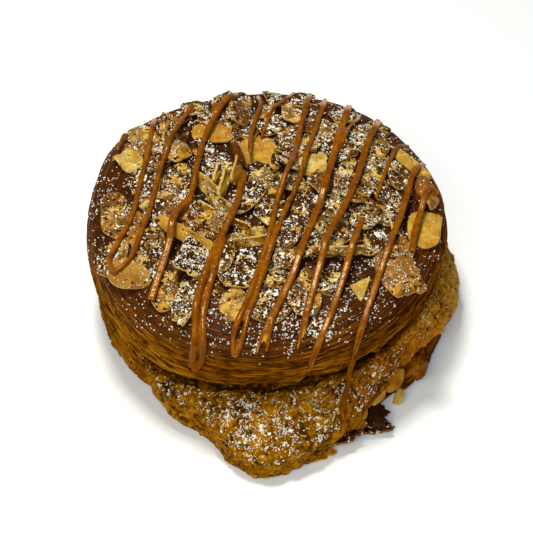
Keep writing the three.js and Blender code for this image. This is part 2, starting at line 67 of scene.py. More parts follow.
lens = bpy.data.cameras.new("camera")
lens.lens = FOCAL_LENGTH
lens.clip_start = 10 * MM
camera = bpy.data.objects.new("camera", lens)
towards_lens = Vector((0, -math.cos(LOOK_DOWN), math.sin(LOOK_DOWN)))
camera.location = TARGET + towards_lens * DISTANCE
camera.rotation_euler = (-towards_lens).to_track_quat("-Z", "Y").to_euler()
bpy.context.scene.collection.objects.link(camera)
bpy.context.scene.camera = camera

# %% Floor and light


def soft_lamp(name, place_mm, size_mm, watts, tint=(1, 1, 1)):
    """A square lamp that faces the middle of the roll."""
    light = bpy.data.lights.new(name, "AREA")
    light.size = size_mm * MM
    light.energy = watts
    light.color = tint
    lamp = bpy.data.objects.new(name, light)
    lamp.location = Vector(place_mm) * MM
    lamp.rotation_euler = (TARGET - lamp.location).to_track_quat("-Z", "Y").to_euler()
    bpy.context.scene.collection.objects.link(lamp)
    return lamp


KEY_POWER, FRONT_POWER, SKY_STRENGTH = 1.78, 1.0, 0.13
soft_lamp("key_lamp", (-60, 60, 480), 85, KEY_POWER, (1.0, 0.97, 0.88))
soft_lamp("front_lamp", (-100, -330, 380), 260, FRONT_POWER, (1.0, 0.93, 0.72))

sky = bpy.data.worlds.new("sky")
sky.use_nodes = True
sky_light = sky.node_tree.nodes["Background"].inputs
sky_light["Color"].default_value = (1, 1, 1, 1)
sky_light["Strength"].default_value = SKY_STRENGTH
bpy.context.scene.world = sky
bpy.context.scene.view_settings.view_transform = "Standard"

# %% [markdown]
# ## Helpers for node trees
# A `Value` stands for a node's output, and it can be calculated with like a number. So a tree reads like
# a sum, `ridge * depth + lump`, and the math nodes are placed on the way. The other helpers keep each
# step to one line: noise of a size in millimetres, a range led to another range, a blend of colours.

# %% Values of nodes


class Value:
    """A node's output, which can be calculated with like a number."""

    def __init__(self, socket):
        self.socket, self.tree = socket, socket.id_data

    def __add__(self, other):
        return calc("ADD", self, other)

    def __sub__(self, other):
        return calc("SUBTRACT", self, other)

    def __rsub__(self, other):
        return calc("SUBTRACT", other, self)

    def __mul__(self, other):
        return calc("MULTIPLY", self, other)

    def __truediv__(self, other):
        return calc("DIVIDE", self, other)

    def __rtruediv__(self, other):
        return calc("DIVIDE", other, self)

    def __abs__(self):
        return calc("ABSOLUTE", self)


def feed(sockets, **values):
    """Sets or links named inputs; an underscore stands for a space in their names."""
    for name, value in values.items():
        connect(value, sockets[name.replace("_", " ")])


def connect(value, socket):
    if isinstance(value, Value):
        value.tree.links.new(value.socket, socket)
    else:
        socket.default_value = value


def place(tree, kind, inputs=None, **settings):
    """A new node with its settings, and its inputs as numbers or as values of other nodes."""
    made = tree.nodes.new(kind)
    for name, value in settings.items():
        setattr(made, name, value)
    for name, value in (inputs or {}).items():
        connect(value, made.inputs[name])
    return made


def output(tree, kind, inputs=None, port=0, **settings):
    """One output of a new node."""
    return Value(place(tree, kind, inputs, **settings).outputs[port])


def tree_of(*values):
    return next(value.tree for value in values if isinstance(value, Value))


def calc(operation, *values):
    """A math node, or a vector one where a vector goes in."""
    sorts = {value.socket.type for value in values if isinstance(value, Value)}
    has_vector = sorts & {"VECTOR", "RGBA"} or any(isinstance(value, tuple) for value in values)
    kind = "ShaderNodeVectorMath" if has_vector else "ShaderNodeMath"
    return output(tree_of(*values), kind, dict(enumerate(values)), operation=operation)


# %% Noise, ranges and colours


def noise(vector, size_mm, detail=2.0, roughness=0.5):
    """Noise from 0 to 1 with blobs of about one size."""
    inputs = {"Vector": vector, "Scale": 1 / (size_mm * MM), "Detail": detail, "Roughness": roughness}
    return output(vector.tree, "ShaderNodeTexNoise", inputs)


def cells(vector, scale):
    """Distance to the middle of the nearest rounded cell."""
    return output(vector.tree, "ShaderNodeTexVoronoi", {"Vector": vector, "Scale": scale}, "Distance")


def along_sheets(spot, level, share):
    """A place for noise whose blobs are drawn out along the sheets of the dough."""
    upright = output(spot.tree, "ShaderNodeCombineXYZ", {"Z": level})
    return spot * (share, share, 0.0) + upright


def ramp(value, low, high, to_low=0.0, to_high=1.0):
    """A value led smoothly from one range to another."""
    inputs = {"Value": value, "From Min": low, "From Max": high, "To Min": to_low, "To Max": to_high}
    return output(value.tree, "ShaderNodeMapRange", inputs, interpolation_type="SMOOTHSTEP")


def screen(red, green, blue):
    """A colour as it is read off a screen, 0 to 255, in the linear values that nodes take."""
    values = [value / 255 for value in (red, green, blue)]
    linear = [v / 12.92 if v <= 0.04045 else ((v + 0.055) / 1.055) ** 2.4 for v in values]
    return (*linear, 1.0)


def blend(share, first, second, mode="MIX"):
    inputs = {0: share, 6: first, 7: second}
    tree = tree_of(share, first, second)
    return output(tree, "ShaderNodeMix", inputs, 2, data_type="RGBA", blend_type=mode)


def colour_steps(value, steps):
    """A colour ramp through (place, red, green, blue) steps."""
    made = place(value.tree, "ShaderNodeValToRGB", {"Fac": value})
    elements = made.color_ramp.elements
    while len(elements) < len(steps):
        elements.new(0.5)
    for element, (position, *shade) in zip(elements, steps):
        element.position = position
        element.color = screen(*shade)
    return Value(made.outputs[0])


def attribute(tree, name):
    return output(tree, "ShaderNodeAttribute", port="Fac", attribute_name=name)


def object_place(tree):
    return output(tree, "ShaderNodeTexCoord", port="Object")


# %% Groups and materials


def picked_from(sockets):
    """A function that takes a node's output by its name."""
    return lambda name: Value(sockets[name])


def new_group(name, inputs, outputs, kind="ShaderNodeTree"):
    """A node group with sockets of (name, kind, default); returns it, its inputs and its outputs."""
    tree = bpy.data.node_groups.new(name, kind)
    for in_out, sockets in (("INPUT", inputs), ("OUTPUT", outputs)):
        for socket_name, sort, *default in sockets:
            sort = "NodeSocket" + sort
            socket = tree.interface.new_socket(socket_name, in_out=in_out, socket_type=sort)
            if default:
                socket.default_value = default[0]
    given = picked_from(tree.nodes.new("NodeGroupInput").outputs)
    return tree, given, tree.nodes.new("NodeGroupOutput").inputs


def join_group(tree, group, **inputs):
    """A node group in a material, with its inputs set or linked."""
    made = place(tree, "ShaderNodeGroup", node_tree=group)
    feed(made.inputs, **inputs)
    return picked_from(made.outputs)


def new_material(name, **constants):
    """A Principled material whose constant values are set on the shader's own sockets."""
    material = bpy.data.materials.new(name)
    material.use_nodes = True
    surface = material.node_tree.nodes["Principled BSDF"].inputs
    feed(surface, **constants)
    return material, material.node_tree, surface


def raise_surface(surface, height, strength, distance_mm):
    """A Bump node that feeds the shader's normal."""
    inputs = {"Height": height, "Strength": strength, "Distance": distance_mm * MM}
    feed(surface, Normal=output(height.tree, "ShaderNodeBump", inputs))


# %% Floor
floor_paint, tree, surface = new_material(
    "floor_paint", Roughness=0.9, Base_Color=(0.97, 0.985, 1.0, 1), Emission_Color=(0.57, 0.74, 1, 1),
    Emission_Strength=0.18,
)
bpy.ops.mesh.primitive_plane_add(size=6)
floor = bpy.context.object
floor.name = "floor"
floor.data.materials.append(floor_paint)

# %% [markdown]
# ## The measures of the roll
# The roll isn't a perfect round. What changes from one side to another is a short list of
# [angle, value] pairs, read smoothly by one function, as a baker would note the rise at each side.
# Angles run anticlockwise from the right, and the front is at -90.

# %% Measures
GAP = 0.3
ROUND_RADIUS, WIDEST_HEIGHT = 50.5, 30.0
CROWN_HEIGHT, CROWN_FALL = 41.0, 0.0009
SHOULDER_RADIUS, SHOULDER_POWER = 40.0, 3.0
CUT_RADIUS, CUT_MIDDLE, TORN_INSET = 48.0, 19.5, 1.6
BASE_TOP = 10.5
CREVICE_RADIUS, CREVICE_WIDTH, LIP_RADIUS = 37.0, 4.5, 48.8

WIDEST = [
    [-180, 50], [-120, 50.3], [-60, 50.5], [0, 51.2], [60, 51], [110, 50.7],
    [132, 52], [148, 52.9], [165, 50.8],
]
BASE_RADIUS = [
    [-180, 49], [-165, 48.2], [-140, 47.6], [-120, 47.2], [-90, 49], [-65, 51], [-45, 52],
    [-36, 54], [-27, 53.6], [-17, 54], [0, 53.5], [45, 51.5], [110, 50.6], [150, 50],
]
CREAM_RADIUS = [
    [-180, 47.6], [-140, 47.4], [-128, 50], [-121, 52.4], [-109, 53.8], [-104.5, 56], [-98, 61.6],
    [-90, 65], [-83.5, 63.6], [-72, 59.4], [-60, 54.6], [-52, 52.8], [-42, 51.4], [-31, 51.8],
    [-22, 54.2], [-10, 56.2], [2, 56.6], [20, 55], [45, 53], [100, 52], [150, 50],
]
CUT_EDGE = [
    [-180, 14.5], [-127, 16.5], [-87, 22.5], [-56, 24.5], [0, 24.5], [60, 20.5], [120, 16],
]
TORN_DROP = [
    [-180, 0.3], [-105, 0.4], [-70, 1.6], [-45, 2.6], [-20, 2], [10, 0.8], [90, 0.4],
]
BASE_RIM = [
    [-180, 13.2], [-145, 13.6], [-120, 11.4], [-90, 9.8], [-40, 9.3], [0, 8.8], [60, 10], [120, 12],
]
CREAM_LIP = [
    [-180, 13.8], [-127, 14.6], [-90, 18.4], [-50, 20], [0, 19.5], [60, 16.5], [120, 14.2],
]
CREAM_BROW = [
    [-180, 13.7], [-127, 13], [-105, 9.5], [-90, 7.4], [-72, 9], [-45, 11.6], [-20, 11.5],
    [0, 10.5], [90, 11], [150, 12.8],
]
CREAM_FOOT = [
    [-180, 12.6], [-140, 11.5], [-124, 0.3], [-66, 0.3], [-55, 6], [-40, 8.4], [-25, 8.4],
    [-12, 3], [15, 3], [60, 7], [130, 9],
]
CREVICE_DEPTH = [[-180, 0.5], [-127, 1.6], [-90, 4], [-50, 4], [0, 3], [90, 1.4]]


def around(pairs, angle):
    """A value that runs smoothly through its pairs and closes round the roll."""
    stops, values = np.array(pairs, float).T
    stops = np.concatenate([stops - 360, stops, stops + 360])
    values = np.tile(values, 3)
    wrapped = (np.asarray(angle, float) - pairs[0][0]) % 360 + pairs[0][0]
    start = np.searchsorted(stops, wrapped, side="right") - 1
    a0, a1, a2, a3 = (stops[start + step] for step in (-1, 0, 1, 2))
    v0, v1, v2, v3 = (values[start + step] for step in (-1, 0, 1, 2))
    share = (wrapped - a1) / (a2 - a1)
    slope_in = (v2 - v0) / (a2 - a0) * (a2 - a1)
    slope_out = (v3 - v1) / (a3 - a1) * (a2 - a1)
    rise = share * share * (3 - 2 * share)
    pull_in = share * (1 - share) ** 2 * slope_in
    pull_out = share * share * (share - 1) * slope_out
    return v1 + (v2 - v1) * rise + pull_in + pull_out


def smooth(low, high, value):
    share = np.clip((value - low) / (high - low), 0, 1)
    return share * share * (3 - 2 * share)


def crown_height(x, y):
    """Height of the crown above a point of the plan; far below everything outside the roll."""
    radius = np.hypot(x, y) * ROUND_RADIUS / around(WIDEST, np.degrees(np.arctan2(y, x)))
    swell = 0.45 * np.sin(x / 9 + 1) * np.cos(y / 11)
    flat = CROWN_HEIGHT - CROWN_FALL * radius * radius
    share = np.clip((radius - SHOULDER_RADIUS) / (ROUND_RADIUS - SHOULDER_RADIUS), 0, 1)
    rounding = (1 - share**SHOULDER_POWER) ** (1 / SHOULDER_POWER)
    shoulder = WIDEST_HEIGHT + (flat + swell - WIDEST_HEIGHT) * rounding
    inside = np.where(radius < SHOULDER_RADIUS, flat + swell, shoulder)
    return np.where(radius < ROUND_RADIUS, inside, -1000.0)


def cut_height(angle, radius):
    return CUT_MIDDLE + (around(CUT_EDGE, angle) - CUT_MIDDLE) * radius / CUT_RADIUS


def wall_radius(angle, height):
    """Radius of the upper half's wall between the sliced edge and its widest line."""
    edge = around(CUT_EDGE, angle)
    share = np.clip((height - edge) / (WIDEST_HEIGHT - edge), 0, 1)
    return CUT_RADIUS + (around(WIDEST, angle) - CUT_RADIUS) * (1 - (1 - share) ** 2)


print("crown", round(float(crown_height(0, 0)), 1), "mm high")

# %% [markdown]
# ## Turning a body from profiles
# Each half of the roll and its filling close round the upright axis, so one function turns all three.
# For every angle it asks for a profile: points from the lower pole to the upper one, each with its
# radius, its height and a few marks for the finish. The marks become attributes of the mesh, so
# the relief and the colours know where they are on the bake without any hand painting.

# %% Bodies of turned profiles


def new_piece(name, points_mm, faces):
    """A smooth mesh piece in metres from points in millimetres."""
    mesh = bpy.data.meshes.new(name)
    mesh.from_pydata((np.asarray(points_mm, float) * MM).tolist(), [], faces)
    mesh.shade_smooth()
    piece = bpy.data.objects.new(name, mesh)
    bpy.context.scene.collection.objects.link(piece)
    return piece


def mark(mesh, name, values, kind="FLOAT"):
    layer = mesh.attributes.new(name, kind, "POINT")
    key = "vector" if kind == "FLOAT_VECTOR" else "value"
    layer.data.foreach_set(key, np.asarray(values).ravel())


def evenly(points, count):
    """Points along a line at equal steps, whatever their spacing was."""
    points = np.asarray(points, float)
    steps = np.linalg.norm(np.diff(points, axis=0), axis=1)
    along = np.concatenate([[0], np.cumsum(np.maximum(steps, 1e-6))])
    wanted = np.linspace(0, along[-1], count)
    return np.column_stack([np.interp(wanted, along, column) for column in points.T])


def turned_piece(name, profile, segments, mark_names):
    """A closed body from profile(angle), whose rows are radius, height and the marks."""
    angles = np.linspace(-180, 180, segments, endpoint=False)
    rows = np.array([profile(angle) for angle in angles])
    turns = np.radians(angles)[:, None]
    middle = rows[:, 1:-1]
    rings = middle.shape[1]
    across = np.stack(
        [middle[:, :, 0] * np.cos(turns), middle[:, :, 0] * np.sin(turns), middle[:, :, 1]], axis=2
    )
    poles = [[0, 0, rows[0, 0, 1]], [0, 0, rows[0, -1, 1]]]
    points = np.concatenate([poles, across.reshape(-1, 3)])
    here = 2 + rings * np.arange(segments)
    after = 2 + rings * ((np.arange(segments) + 1) % segments)
    ring = np.arange(rings - 1)
    low, low_after = here[:, None] + ring, after[:, None] + ring
    quads = np.stack([low, low_after, low_after + 1, low + 1], axis=2).reshape(-1, 4).tolist()
    caps = [[0, b, a] for a, b in zip(here.tolist(), after.tolist())]
    last = rings - 1
    caps += [[1, a + last, b + last] for a, b in zip(here.tolist(), after.tolist())]
    piece = new_piece(name, points, quads + caps)
    for column, mark_name in enumerate(mark_names, start=2):
        ends = [rows[0, 0, column], rows[0, -1, column]]
        mark(piece.data, mark_name, np.concatenate([ends, middle[:, :, column].ravel()]))
    return piece


# %% [markdown]
# ## Geometry Nodes: a tree and its result
# A tree is built once with named sizes and reused with other values. `grown` puts it on a
# piece, sets the sizes through the sockets' identifiers, and then turns the evaluated result into a
# plain mesh, because the finished piece has to stand without its modifier.

# %% Tree helpers


def new_tree(name, inputs):
    """A Geometry Nodes tree with named inputs of (name, kind) besides its geometry."""
    geometry = ("Geometry", "Geometry")
    return new_group(name, [geometry, *inputs], [geometry], "GeometryNodeTree")


def named(tree, name, kind="FLOAT"):
    """The value of a named attribute."""
    return output(tree, "GeometryNodeInputNamedAttribute", {"Name": name}, data_type=kind)


def stored(geometry, name, value):
    """The geometry with a value kept as an attribute of its points."""
    kind = "GeometryNodeStoreNamedAttribute"
    inputs = {"Geometry": geometry, "Name": name, 3: value}
    return output(geometry.tree, kind, inputs, data_type="FLOAT", domain="POINT")


def scaled(vector, factor):
    inputs = {0: vector, "Scale": factor}
    return output(vector.tree, "ShaderNodeVectorMath", inputs, operation="SCALE")


def moved_out(geometry, distance):
    """The surface moved along its normal by a distance."""
    offset = scaled(output(geometry.tree, "GeometryNodeInputNormal"), distance)
    return output(geometry.tree, "GeometryNodeSetPosition", {"Geometry": geometry, "Offset": offset})


def above_table(geometry):
    """Nothing is left below the table plane."""
    spot = output(geometry.tree, "GeometryNodeInputPosition")
    inputs = {"Geometry": geometry, "Position": calc("MAXIMUM", spot, (-1.0, -1.0, 0.0))}
    return output(geometry.tree, "GeometryNodeSetPosition", inputs)


def finish_tree(geometry, given, result):
    """Every tree ends with its instances made real and its material set."""
    real = output(geometry.tree, "GeometryNodeRealizeInstances", {"Geometry": geometry})
    inputs = {"Geometry": real, "Material": given("Material")}
    feed(result, Geometry=output(geometry.tree, "GeometryNodeSetMaterial", inputs))


def grown(piece, tree, values):
    """Runs a tree on a piece and leaves its result as the piece's plain mesh."""
    nodes = piece.modifiers.new(tree.name, "NODES")
    nodes.node_group = tree
    identifiers = {
        item.name: item.identifier for item in tree.interface.items_tree if item.in_out == "INPUT"
    }
    for name, value in values.items():
        nodes[identifiers[name]] = value
    plain_mesh(piece)
    return piece


def plain_mesh(piece):
    """Turns what the modifiers make of a piece into its own mesh, and removes them."""
    depsgraph = bpy.context.evaluated_depsgraph_get()
    made = bpy.data.meshes.new_from_object(piece.evaluated_get(depsgraph), depsgraph=depsgraph)
    made.name = piece.name
    piece.modifiers.clear()
    piece.data = made
    triangles = sum(len(face.vertices) - 2 for face in made.polygons)
    print(f"{piece.name}: {len(made.vertices)} points, {triangles} triangles")


# %% [markdown]
# ## Layers of the dough
# Laminated dough bakes into hundreds of thin sheets. At a wall they show as fine wavy ridges that run
# round the roll, merge and fade. A carved texture would look drawn on, so the sheets are real relief:
# the tree bends a regular wave of layers with long noise, and keeps the ridges' height as an
# attribute. The colour is painted golden where a sheet stands out and darker in the grooves between,
# as painted light and shade.

# %% The layer tree
layer_tree, given, result = new_tree("dough_layers", [
    ("Layer Pitch", "Float"), ("Ridge Depth", "Float"), ("Wander", "Float"), ("Lump Depth", "Float"),
    ("Material", "Material"),
])
spot = output(layer_tree, "GeometryNodeInputPosition")
layer_height = named(layer_tree, "layer_height")
along = along_sheets(spot, layer_height, 0.09)
wander = (noise(along, 4.5) - 0.5) * given("Wander")
phase = (layer_height + wander) / given("Layer Pitch") * math.tau
broad = calc("SINE", phase) * 0.5 + 0.5
strength = ramp(noise(along, 3.2), 0.35, 0.65, 0.3, 1.0)
slit = ramp(abs(noise(along, 1.5, 2.0, 0.55) - 0.5), 0.0, 0.07, 1.0, 0.0)
ridge = broad * strength * 0.6 + slit * -0.42 + 0.42
relief = (ridge - 0.55) * given("Ridge Depth") * named(layer_tree, "side")
lump = (noise(spot, 7.0) - 0.5) * given("Lump Depth")
relief = (relief + lump) * named(layer_tree, "shown")
# The ridge is kept for the colour, which paints the sheets that stand out lighter and the grooves and
# slits between them darker, as painted shade.
raised = stored(moved_out(given("Geometry"), relief), "ridge", ridge)
finish_tree(above_table(raised), given, result)

# %% [markdown]
# ## Finishes that several materials share
# Three effects come back all over the bake, so each is a node group:
# *browning* turns a bake value into a colour, from ochre crumb to dark crust, with mottling, and paints
# the sheets that stand out lighter and the grooves between them darker, as painted light and shade;
# *fibres* are the finest threads of the dough, too thin for the mesh, with the slits between them that
# the pastry paints dark as shade;
# *sifted dust* lays specks of powdered sugar and cocoa over any colour.

# %% Browning
browning, given, result = new_group(
    "browning", [("Bake", "Float", 0.5), ("Ridge", "Float", 0.5), ("Mottle", "Float", 0.25)],
    [("Colour", "Color")],
)
spot = object_place(browning)
mottle = (noise(spot, 14.0) - 0.5) * 0.8 + (noise(spot, 3.0, 4.0, 0.6) - 0.5)
# The ridge paints light and shade: lighter where a sheet stands out, darker in the grooves.
baked = (given("Ridge") - 0.5) * -0.42 + (mottle * given("Mottle") + given("Bake"))
CRUST = [
    (0.0, 188, 130, 28), (0.2, 162, 100, 8), (0.42, 130, 74, 0), (0.62, 104, 55, 2), (0.8, 80, 38, 2),
    (1.0, 30, 11, 0),
]
feed(result, Colour=colour_steps(baked, CRUST))

# %% Fibres
fibres, given, result = new_group(
    "fibres", [("Level", "Float", 0.0), ("Width", "Float", 0.45)],
    [("Height", "Float"), ("Slit", "Float")],
)
along = along_sheets(object_place(fibres), given("Level"), 0.07)
threads = {"Vector": along, "Scale": 1 / MM / given("Width"), "Detail": 3.0}
slit = ramp(abs(noise(along, 1.0, 2.0, 0.6) - 0.5), 0.0, 0.055, 1.0, 0.0)
feed(result, Height=output(fibres, "ShaderNodeTexNoise", threads), Slit=slit)

# %% Sifted dust
dusting, given, result = new_group(
    "sifted_dust",
    [("Colour", "Color", (0.5, 0.5, 0.5, 1)), ("Sugar", "Float", 0.5), ("Cocoa", "Float", 0.5),
     ("Grain", "Float", 0.45), ("Powder", "Float", 0.0)],
    [("Colour", "Color"), ("Height", "Float")],
)
spot = object_place(dusting)
scale = 1 / MM / given("Grain")
BARE, SPECK_EDGE = 0.85, 0.05  # the threshold that no noise passes, and how softly a speck ends


def specks(amount, offset, loosest, larger=1.0):
    """A mask of specks: more noise passes the threshold as the amount grows."""
    shifted = spot + (offset, offset, offset)
    inputs = {"Vector": shifted, "Scale": scale / larger, "Detail": 2.0, "Roughness": 0.58}
    clumps, drifts = noise(shifted, 1.9) - 0.5, noise(shifted, 6.0) - 0.5
    field = drifts * 0.4 + (clumps * 0.6 + output(dusting, "ShaderNodeTexNoise", inputs))
    threshold = amount * (loosest - BARE) + BARE
    return ramp(field, threshold, threshold + SPECK_EDGE)


sugar_specks = specks(given("Sugar"), 0.0, 0.51)
cocoa_specks = specks(given("Cocoa"), 0.37, 0.46, 1.1)
powdered = ramp(noise(spot, 3.0, 3.0, 0.6), 0.36, 0.6) * given("Powder")
film = ramp(noise(spot, 4.2, 4.0, 0.66), 0.41, 0.51) * given("Cocoa")
dusted = blend(powdered, given("Colour"), screen(232, 196, 128))
dusted = blend(film, dusted, screen(68, 30, 0))
dusted = blend(cocoa_specks, dusted, screen(46, 20, 0))
dusted = blend(sugar_specks, dusted, screen(250, 245, 235))
feed(result, Colour=dusted, Height=cocoa_specks * 0.5 + sugar_specks)

# %% [markdown]
# ## Pastry material
# Both halves of the roll are the same dough. The material reads the marks of the mesh: how far the
# place is baked, with painted light and shade mixed in; whether a sheet stands out there, which paints
# it lighter and the grooves darker as shade; how open the slits are, which are painted dark as shade;
# how much sugar and cocoa fell on it, and how much gloss is left of the egg wash. The crown was brushed
# before baking, so it shines a little. The walls don't.

# %% Pastry material


WARM = (1.0, 0.72, 0.38, 1.0)  # what shines is fat and sugar, so highlights are golden


def pastry_finish(name):
    material, tree, surface = new_material(
        name, IOR=1.4, Specular_Tint=WARM, Coat_Roughness=0.35, Subsurface_Weight=0.05,
        Subsurface_Scale=0.002,
    )
    gloss = attribute(tree, "gloss")
    fibre = join_group(tree, fibres, Level=attribute(tree, "layer_height"), Width=0.45)
    # Fibres and ridges paint the sheets lighter and the grooves between them darker, as painted shade.
    ridge = (fibre("Height") - 0.5) * (gloss * -1.9 + 2.8) + attribute(tree, "ridge")
    crust = join_group(tree, browning, Bake=attribute(tree, "bake"), Ridge=ridge, Mottle=0.5)
    # The slits between the sheets are painted dark brown, as painted shade.
    slits = fibre("Slit") * attribute(tree, "slits")
    dust = join_group(
        tree, dusting, Colour=blend(slits, crust("Colour"), screen(58, 28, 0)),
        Sugar=attribute(tree, "sugar"), Cocoa=attribute(tree, "cocoa"), Grain=0.8,
    )
    rough = dust("Height") * 0.4 + ramp(gloss, 0.0, 1.0, 0.75, 0.5)
    feed(surface, Base_Color=dust("Colour"), Roughness=rough)
    feed(surface, Coat_Weight=gloss * 0.06, Specular_IOR_Level=gloss * 0.22 + 0.02)
    height = noise(object_place(tree), 1.1, 4.0, 0.6) * 0.5 + fibre("Height")
    raise_surface(surface, height - slits + dust("Height") * 0.7, 0.9, 0.35)
    return material


upper_crust = pastry_finish("upper_crust")
lower_crust = pastry_finish("lower_crust")

# %% [markdown]
# ## Upper half
# The upper half is a shallow drum: a level slice below, a wall that swells to its widest line, a
# rounded shoulder and a nearly flat crown. Its profile follows a rule, so the mesh is turned from
# that rule and the layer tree raises the sheets. In the layers' own heights the sheets sink towards the
# left, because the dough was twisted when it was laid in its ring.

# %% Upper half
SHEET_SLANT = [
    [-180, 0], [-165, 2.5], [-150, 6], [-135, 9], [-120, 11.5], [-100, 12.5], [-80, 12],
    [-60, 11], [-40, 9.5], [0, 6], [60, 3], [130, 1],
]
PASTRY_MARKS = ["bake", "side", "shown", "layer_height", "gloss", "sugar", "cocoa", "slits"]
PASTRY_SEGMENTS, OUTSIDE_POINTS, ARC_POINTS = 500, 165, 30


def upper_marks(angle, radius, height):
    """The finish of the upper half at the points of its profile, one column for each mark."""
    edge = around(CUT_EDGE, angle)
    share = (height - edge) / (CROWN_HEIGHT - edge)
    crown = smooth(43, 38, radius)
    level = (height + around(SHEET_SLANT, angle) + 0.8 * np.maximum(0, 47 - radius)) * MM
    front = smooth(-20, -45, radius * np.sin(np.radians(angle)))
    # The left side of the wall is painted lighter, as painted light from the left.
    left = (smooth(-105, -130, angle) + smooth(150, 180, angle)) * smooth(0.9, 0.6, share)
    # The bake rises again towards the sliced lower edge: painted shade over the gap below it.
    heights, bakes = [-0.2, 0, 0.3, 0.55, 0.8, 1], [0.66, 0.5, 0.38, 0.45, 0.74, 0.93]
    shoulder_sugar = (0.37 + 0.42 * front * smooth(-112, -84, angle)) * smooth(0.55, 0.9, share)
    return np.column_stack([
        # The crown under the almond pile is baked darker, which also paints shade into the gaps between
        # the flakes.
        np.interp(share, heights, bakes) - 0.24 * left + 0.08 * crown,
        1 - 0.85 * smooth(0.55, 0.93, share),
        np.ones(len(radius)),
        level,
        smooth(0.45, 0.8, share) * (0.6 + 0.4 * crown),
        # Less sugar under the pile leaves painted shade in the gaps between the flakes.
        shoulder_sugar * (1 - crown) + 0.56 * crown - 0.13 * smooth(39, 35, radius),
        0.36 * smooth(0.6, 0.9, share) * (1 - crown) + 0.72 * crown,
        0.95 - 0.6 * smooth(0.6, 0.93, share),
    ])


def upper_profile(angle):
    edge = around(CUT_EDGE, angle)
    spread = around(WIDEST, angle) / ROUND_RADIUS
    drop = around(TORN_DROP, angle)
    turn = np.radians(angle)
    torn = CUT_RADIUS - TORN_INSET
    plan = np.array([0, 8, 16, 24, 32, 37, 40, 42.5, 44.5])
    under = np.column_stack([plan, cut_height(angle, plan) - drop * smooth(36, torn, plan)])
    heights = np.linspace(edge + 0.7, WIDEST_HEIGHT, ARC_POINTS)
    wall = np.column_stack([wall_radius(angle, heights), heights])
    turns = np.radians(np.linspace(0, 90, ARC_POINTS))[1:-1]
    plan = SHOULDER_RADIUS + (ROUND_RADIUS - SHOULDER_RADIUS) * np.cos(turns) ** (2 / SHOULDER_POWER)
    plan = np.concatenate([plan, [40, 38]]) * spread
    shoulder = np.column_stack([plan, crown_height(plan * np.cos(turn), plan * np.sin(turn))])
    torn_edge = [[torn, cut_height(angle, torn) - drop], [torn + 0.4, edge]]
    outside = evenly(np.concatenate([torn_edge, wall, shoulder]), OUTSIDE_POINTS)
    plan = np.array([36, 33.5, 31, 28.5, 26, 23, 20, 17, 14, 11, 8, 5, 2.5, 0]) * spread
    crown = np.column_stack([plan, crown_height(plan * np.cos(turn), plan * np.sin(turn))])
    rows = np.concatenate([under, outside, crown])
    marks = upper_marks(angle, rows[:, 0], rows[:, 1])
    marks[: len(under)] = [0.3, 0.3, 0.3, 0, 0, 0, 0, 0]
    return np.column_stack([rows, marks])


upper_half = turned_piece("upper_half", upper_profile, PASTRY_SEGMENTS, PASTRY_MARKS)
LAYERS = {
    "Layer Pitch": 1.0 * MM, "Ridge Depth": 0.95 * MM, "Wander": 4.5 * MM, "Lump Depth": 0.6 * MM,
}
grown(upper_half, layer_tree, LAYERS | {"Material": upper_crust})

# %% [markdown]
# ## Lower half
# The lower half stands on the table and shows as a rough band under the cream. Its wall is the
# same laminated dough, less baked at the left and darker at the right front, where it was torn.

# %% Lower half
WALL_ROWS = 56


def lower_profile(angle):
    radius = around(BASE_RADIUS, angle)
    top = around(BASE_RIM, angle)
    wall = [[radius - 2.5, 0], [radius - 1.2, 0.9], [radius - 0.4, 2.4], [radius - 0.4, top - 1]]
    wall += [[radius - 0.9, top - 0.4], [radius - 2, top]]
    plan = np.array([40.0, 24.0, 0.0])
    inside = np.column_stack([plan, BASE_TOP + (top - BASE_TOP) * plan / (radius - 2)])
    under = [[0, 0], [12, 0], [24, 0], [36, 0]]
    rows = np.concatenate([under, evenly(wall, WALL_ROWS), inside])
    height = rows[:, 1]
    dark = smooth(-75, -45, angle) * smooth(20, -10, angle)
    number = np.arange(len(rows))
    shown = smooth(0.1, 1.2, height) * (number < WALL_ROWS + 3) * (1 + 0.7 * dark)
    bake = 0.30 + 0.16 * dark + 0.1 * smooth(4, 0, height)
    level = (height + around(SHEET_SLANT, angle)) * MM
    steady = np.ones((len(rows), 1))
    return np.column_stack([rows, bake, steady, shown, level, steady * [0.05, 0.08, 0.05, 0.7]])


lower_half = turned_piece("lower_half", lower_profile, PASTRY_SEGMENTS, PASTRY_MARKS)
LAYERS = {
    "Layer Pitch": 1.7 * MM, "Ridge Depth": 1.6 * MM, "Wander": 6 * MM, "Lump Depth": 1.6 * MM,
}
grown(lower_half, layer_tree, LAYERS | {"Material": lower_crust})

# %% [markdown]
# ## Almond cream
# Almond cream is ground almonds, butter and egg. It ran out over the front in the oven and dried to a
# granular crust: rounded lumps of about 5 mm, and on them crumbs of 1 to 2 mm. Voronoi cells give
# rounded crumbs, which plain noise doesn't. The colour paints the raised crumbs lighter and the pits
# and pores between them dark, as painted light and shade.

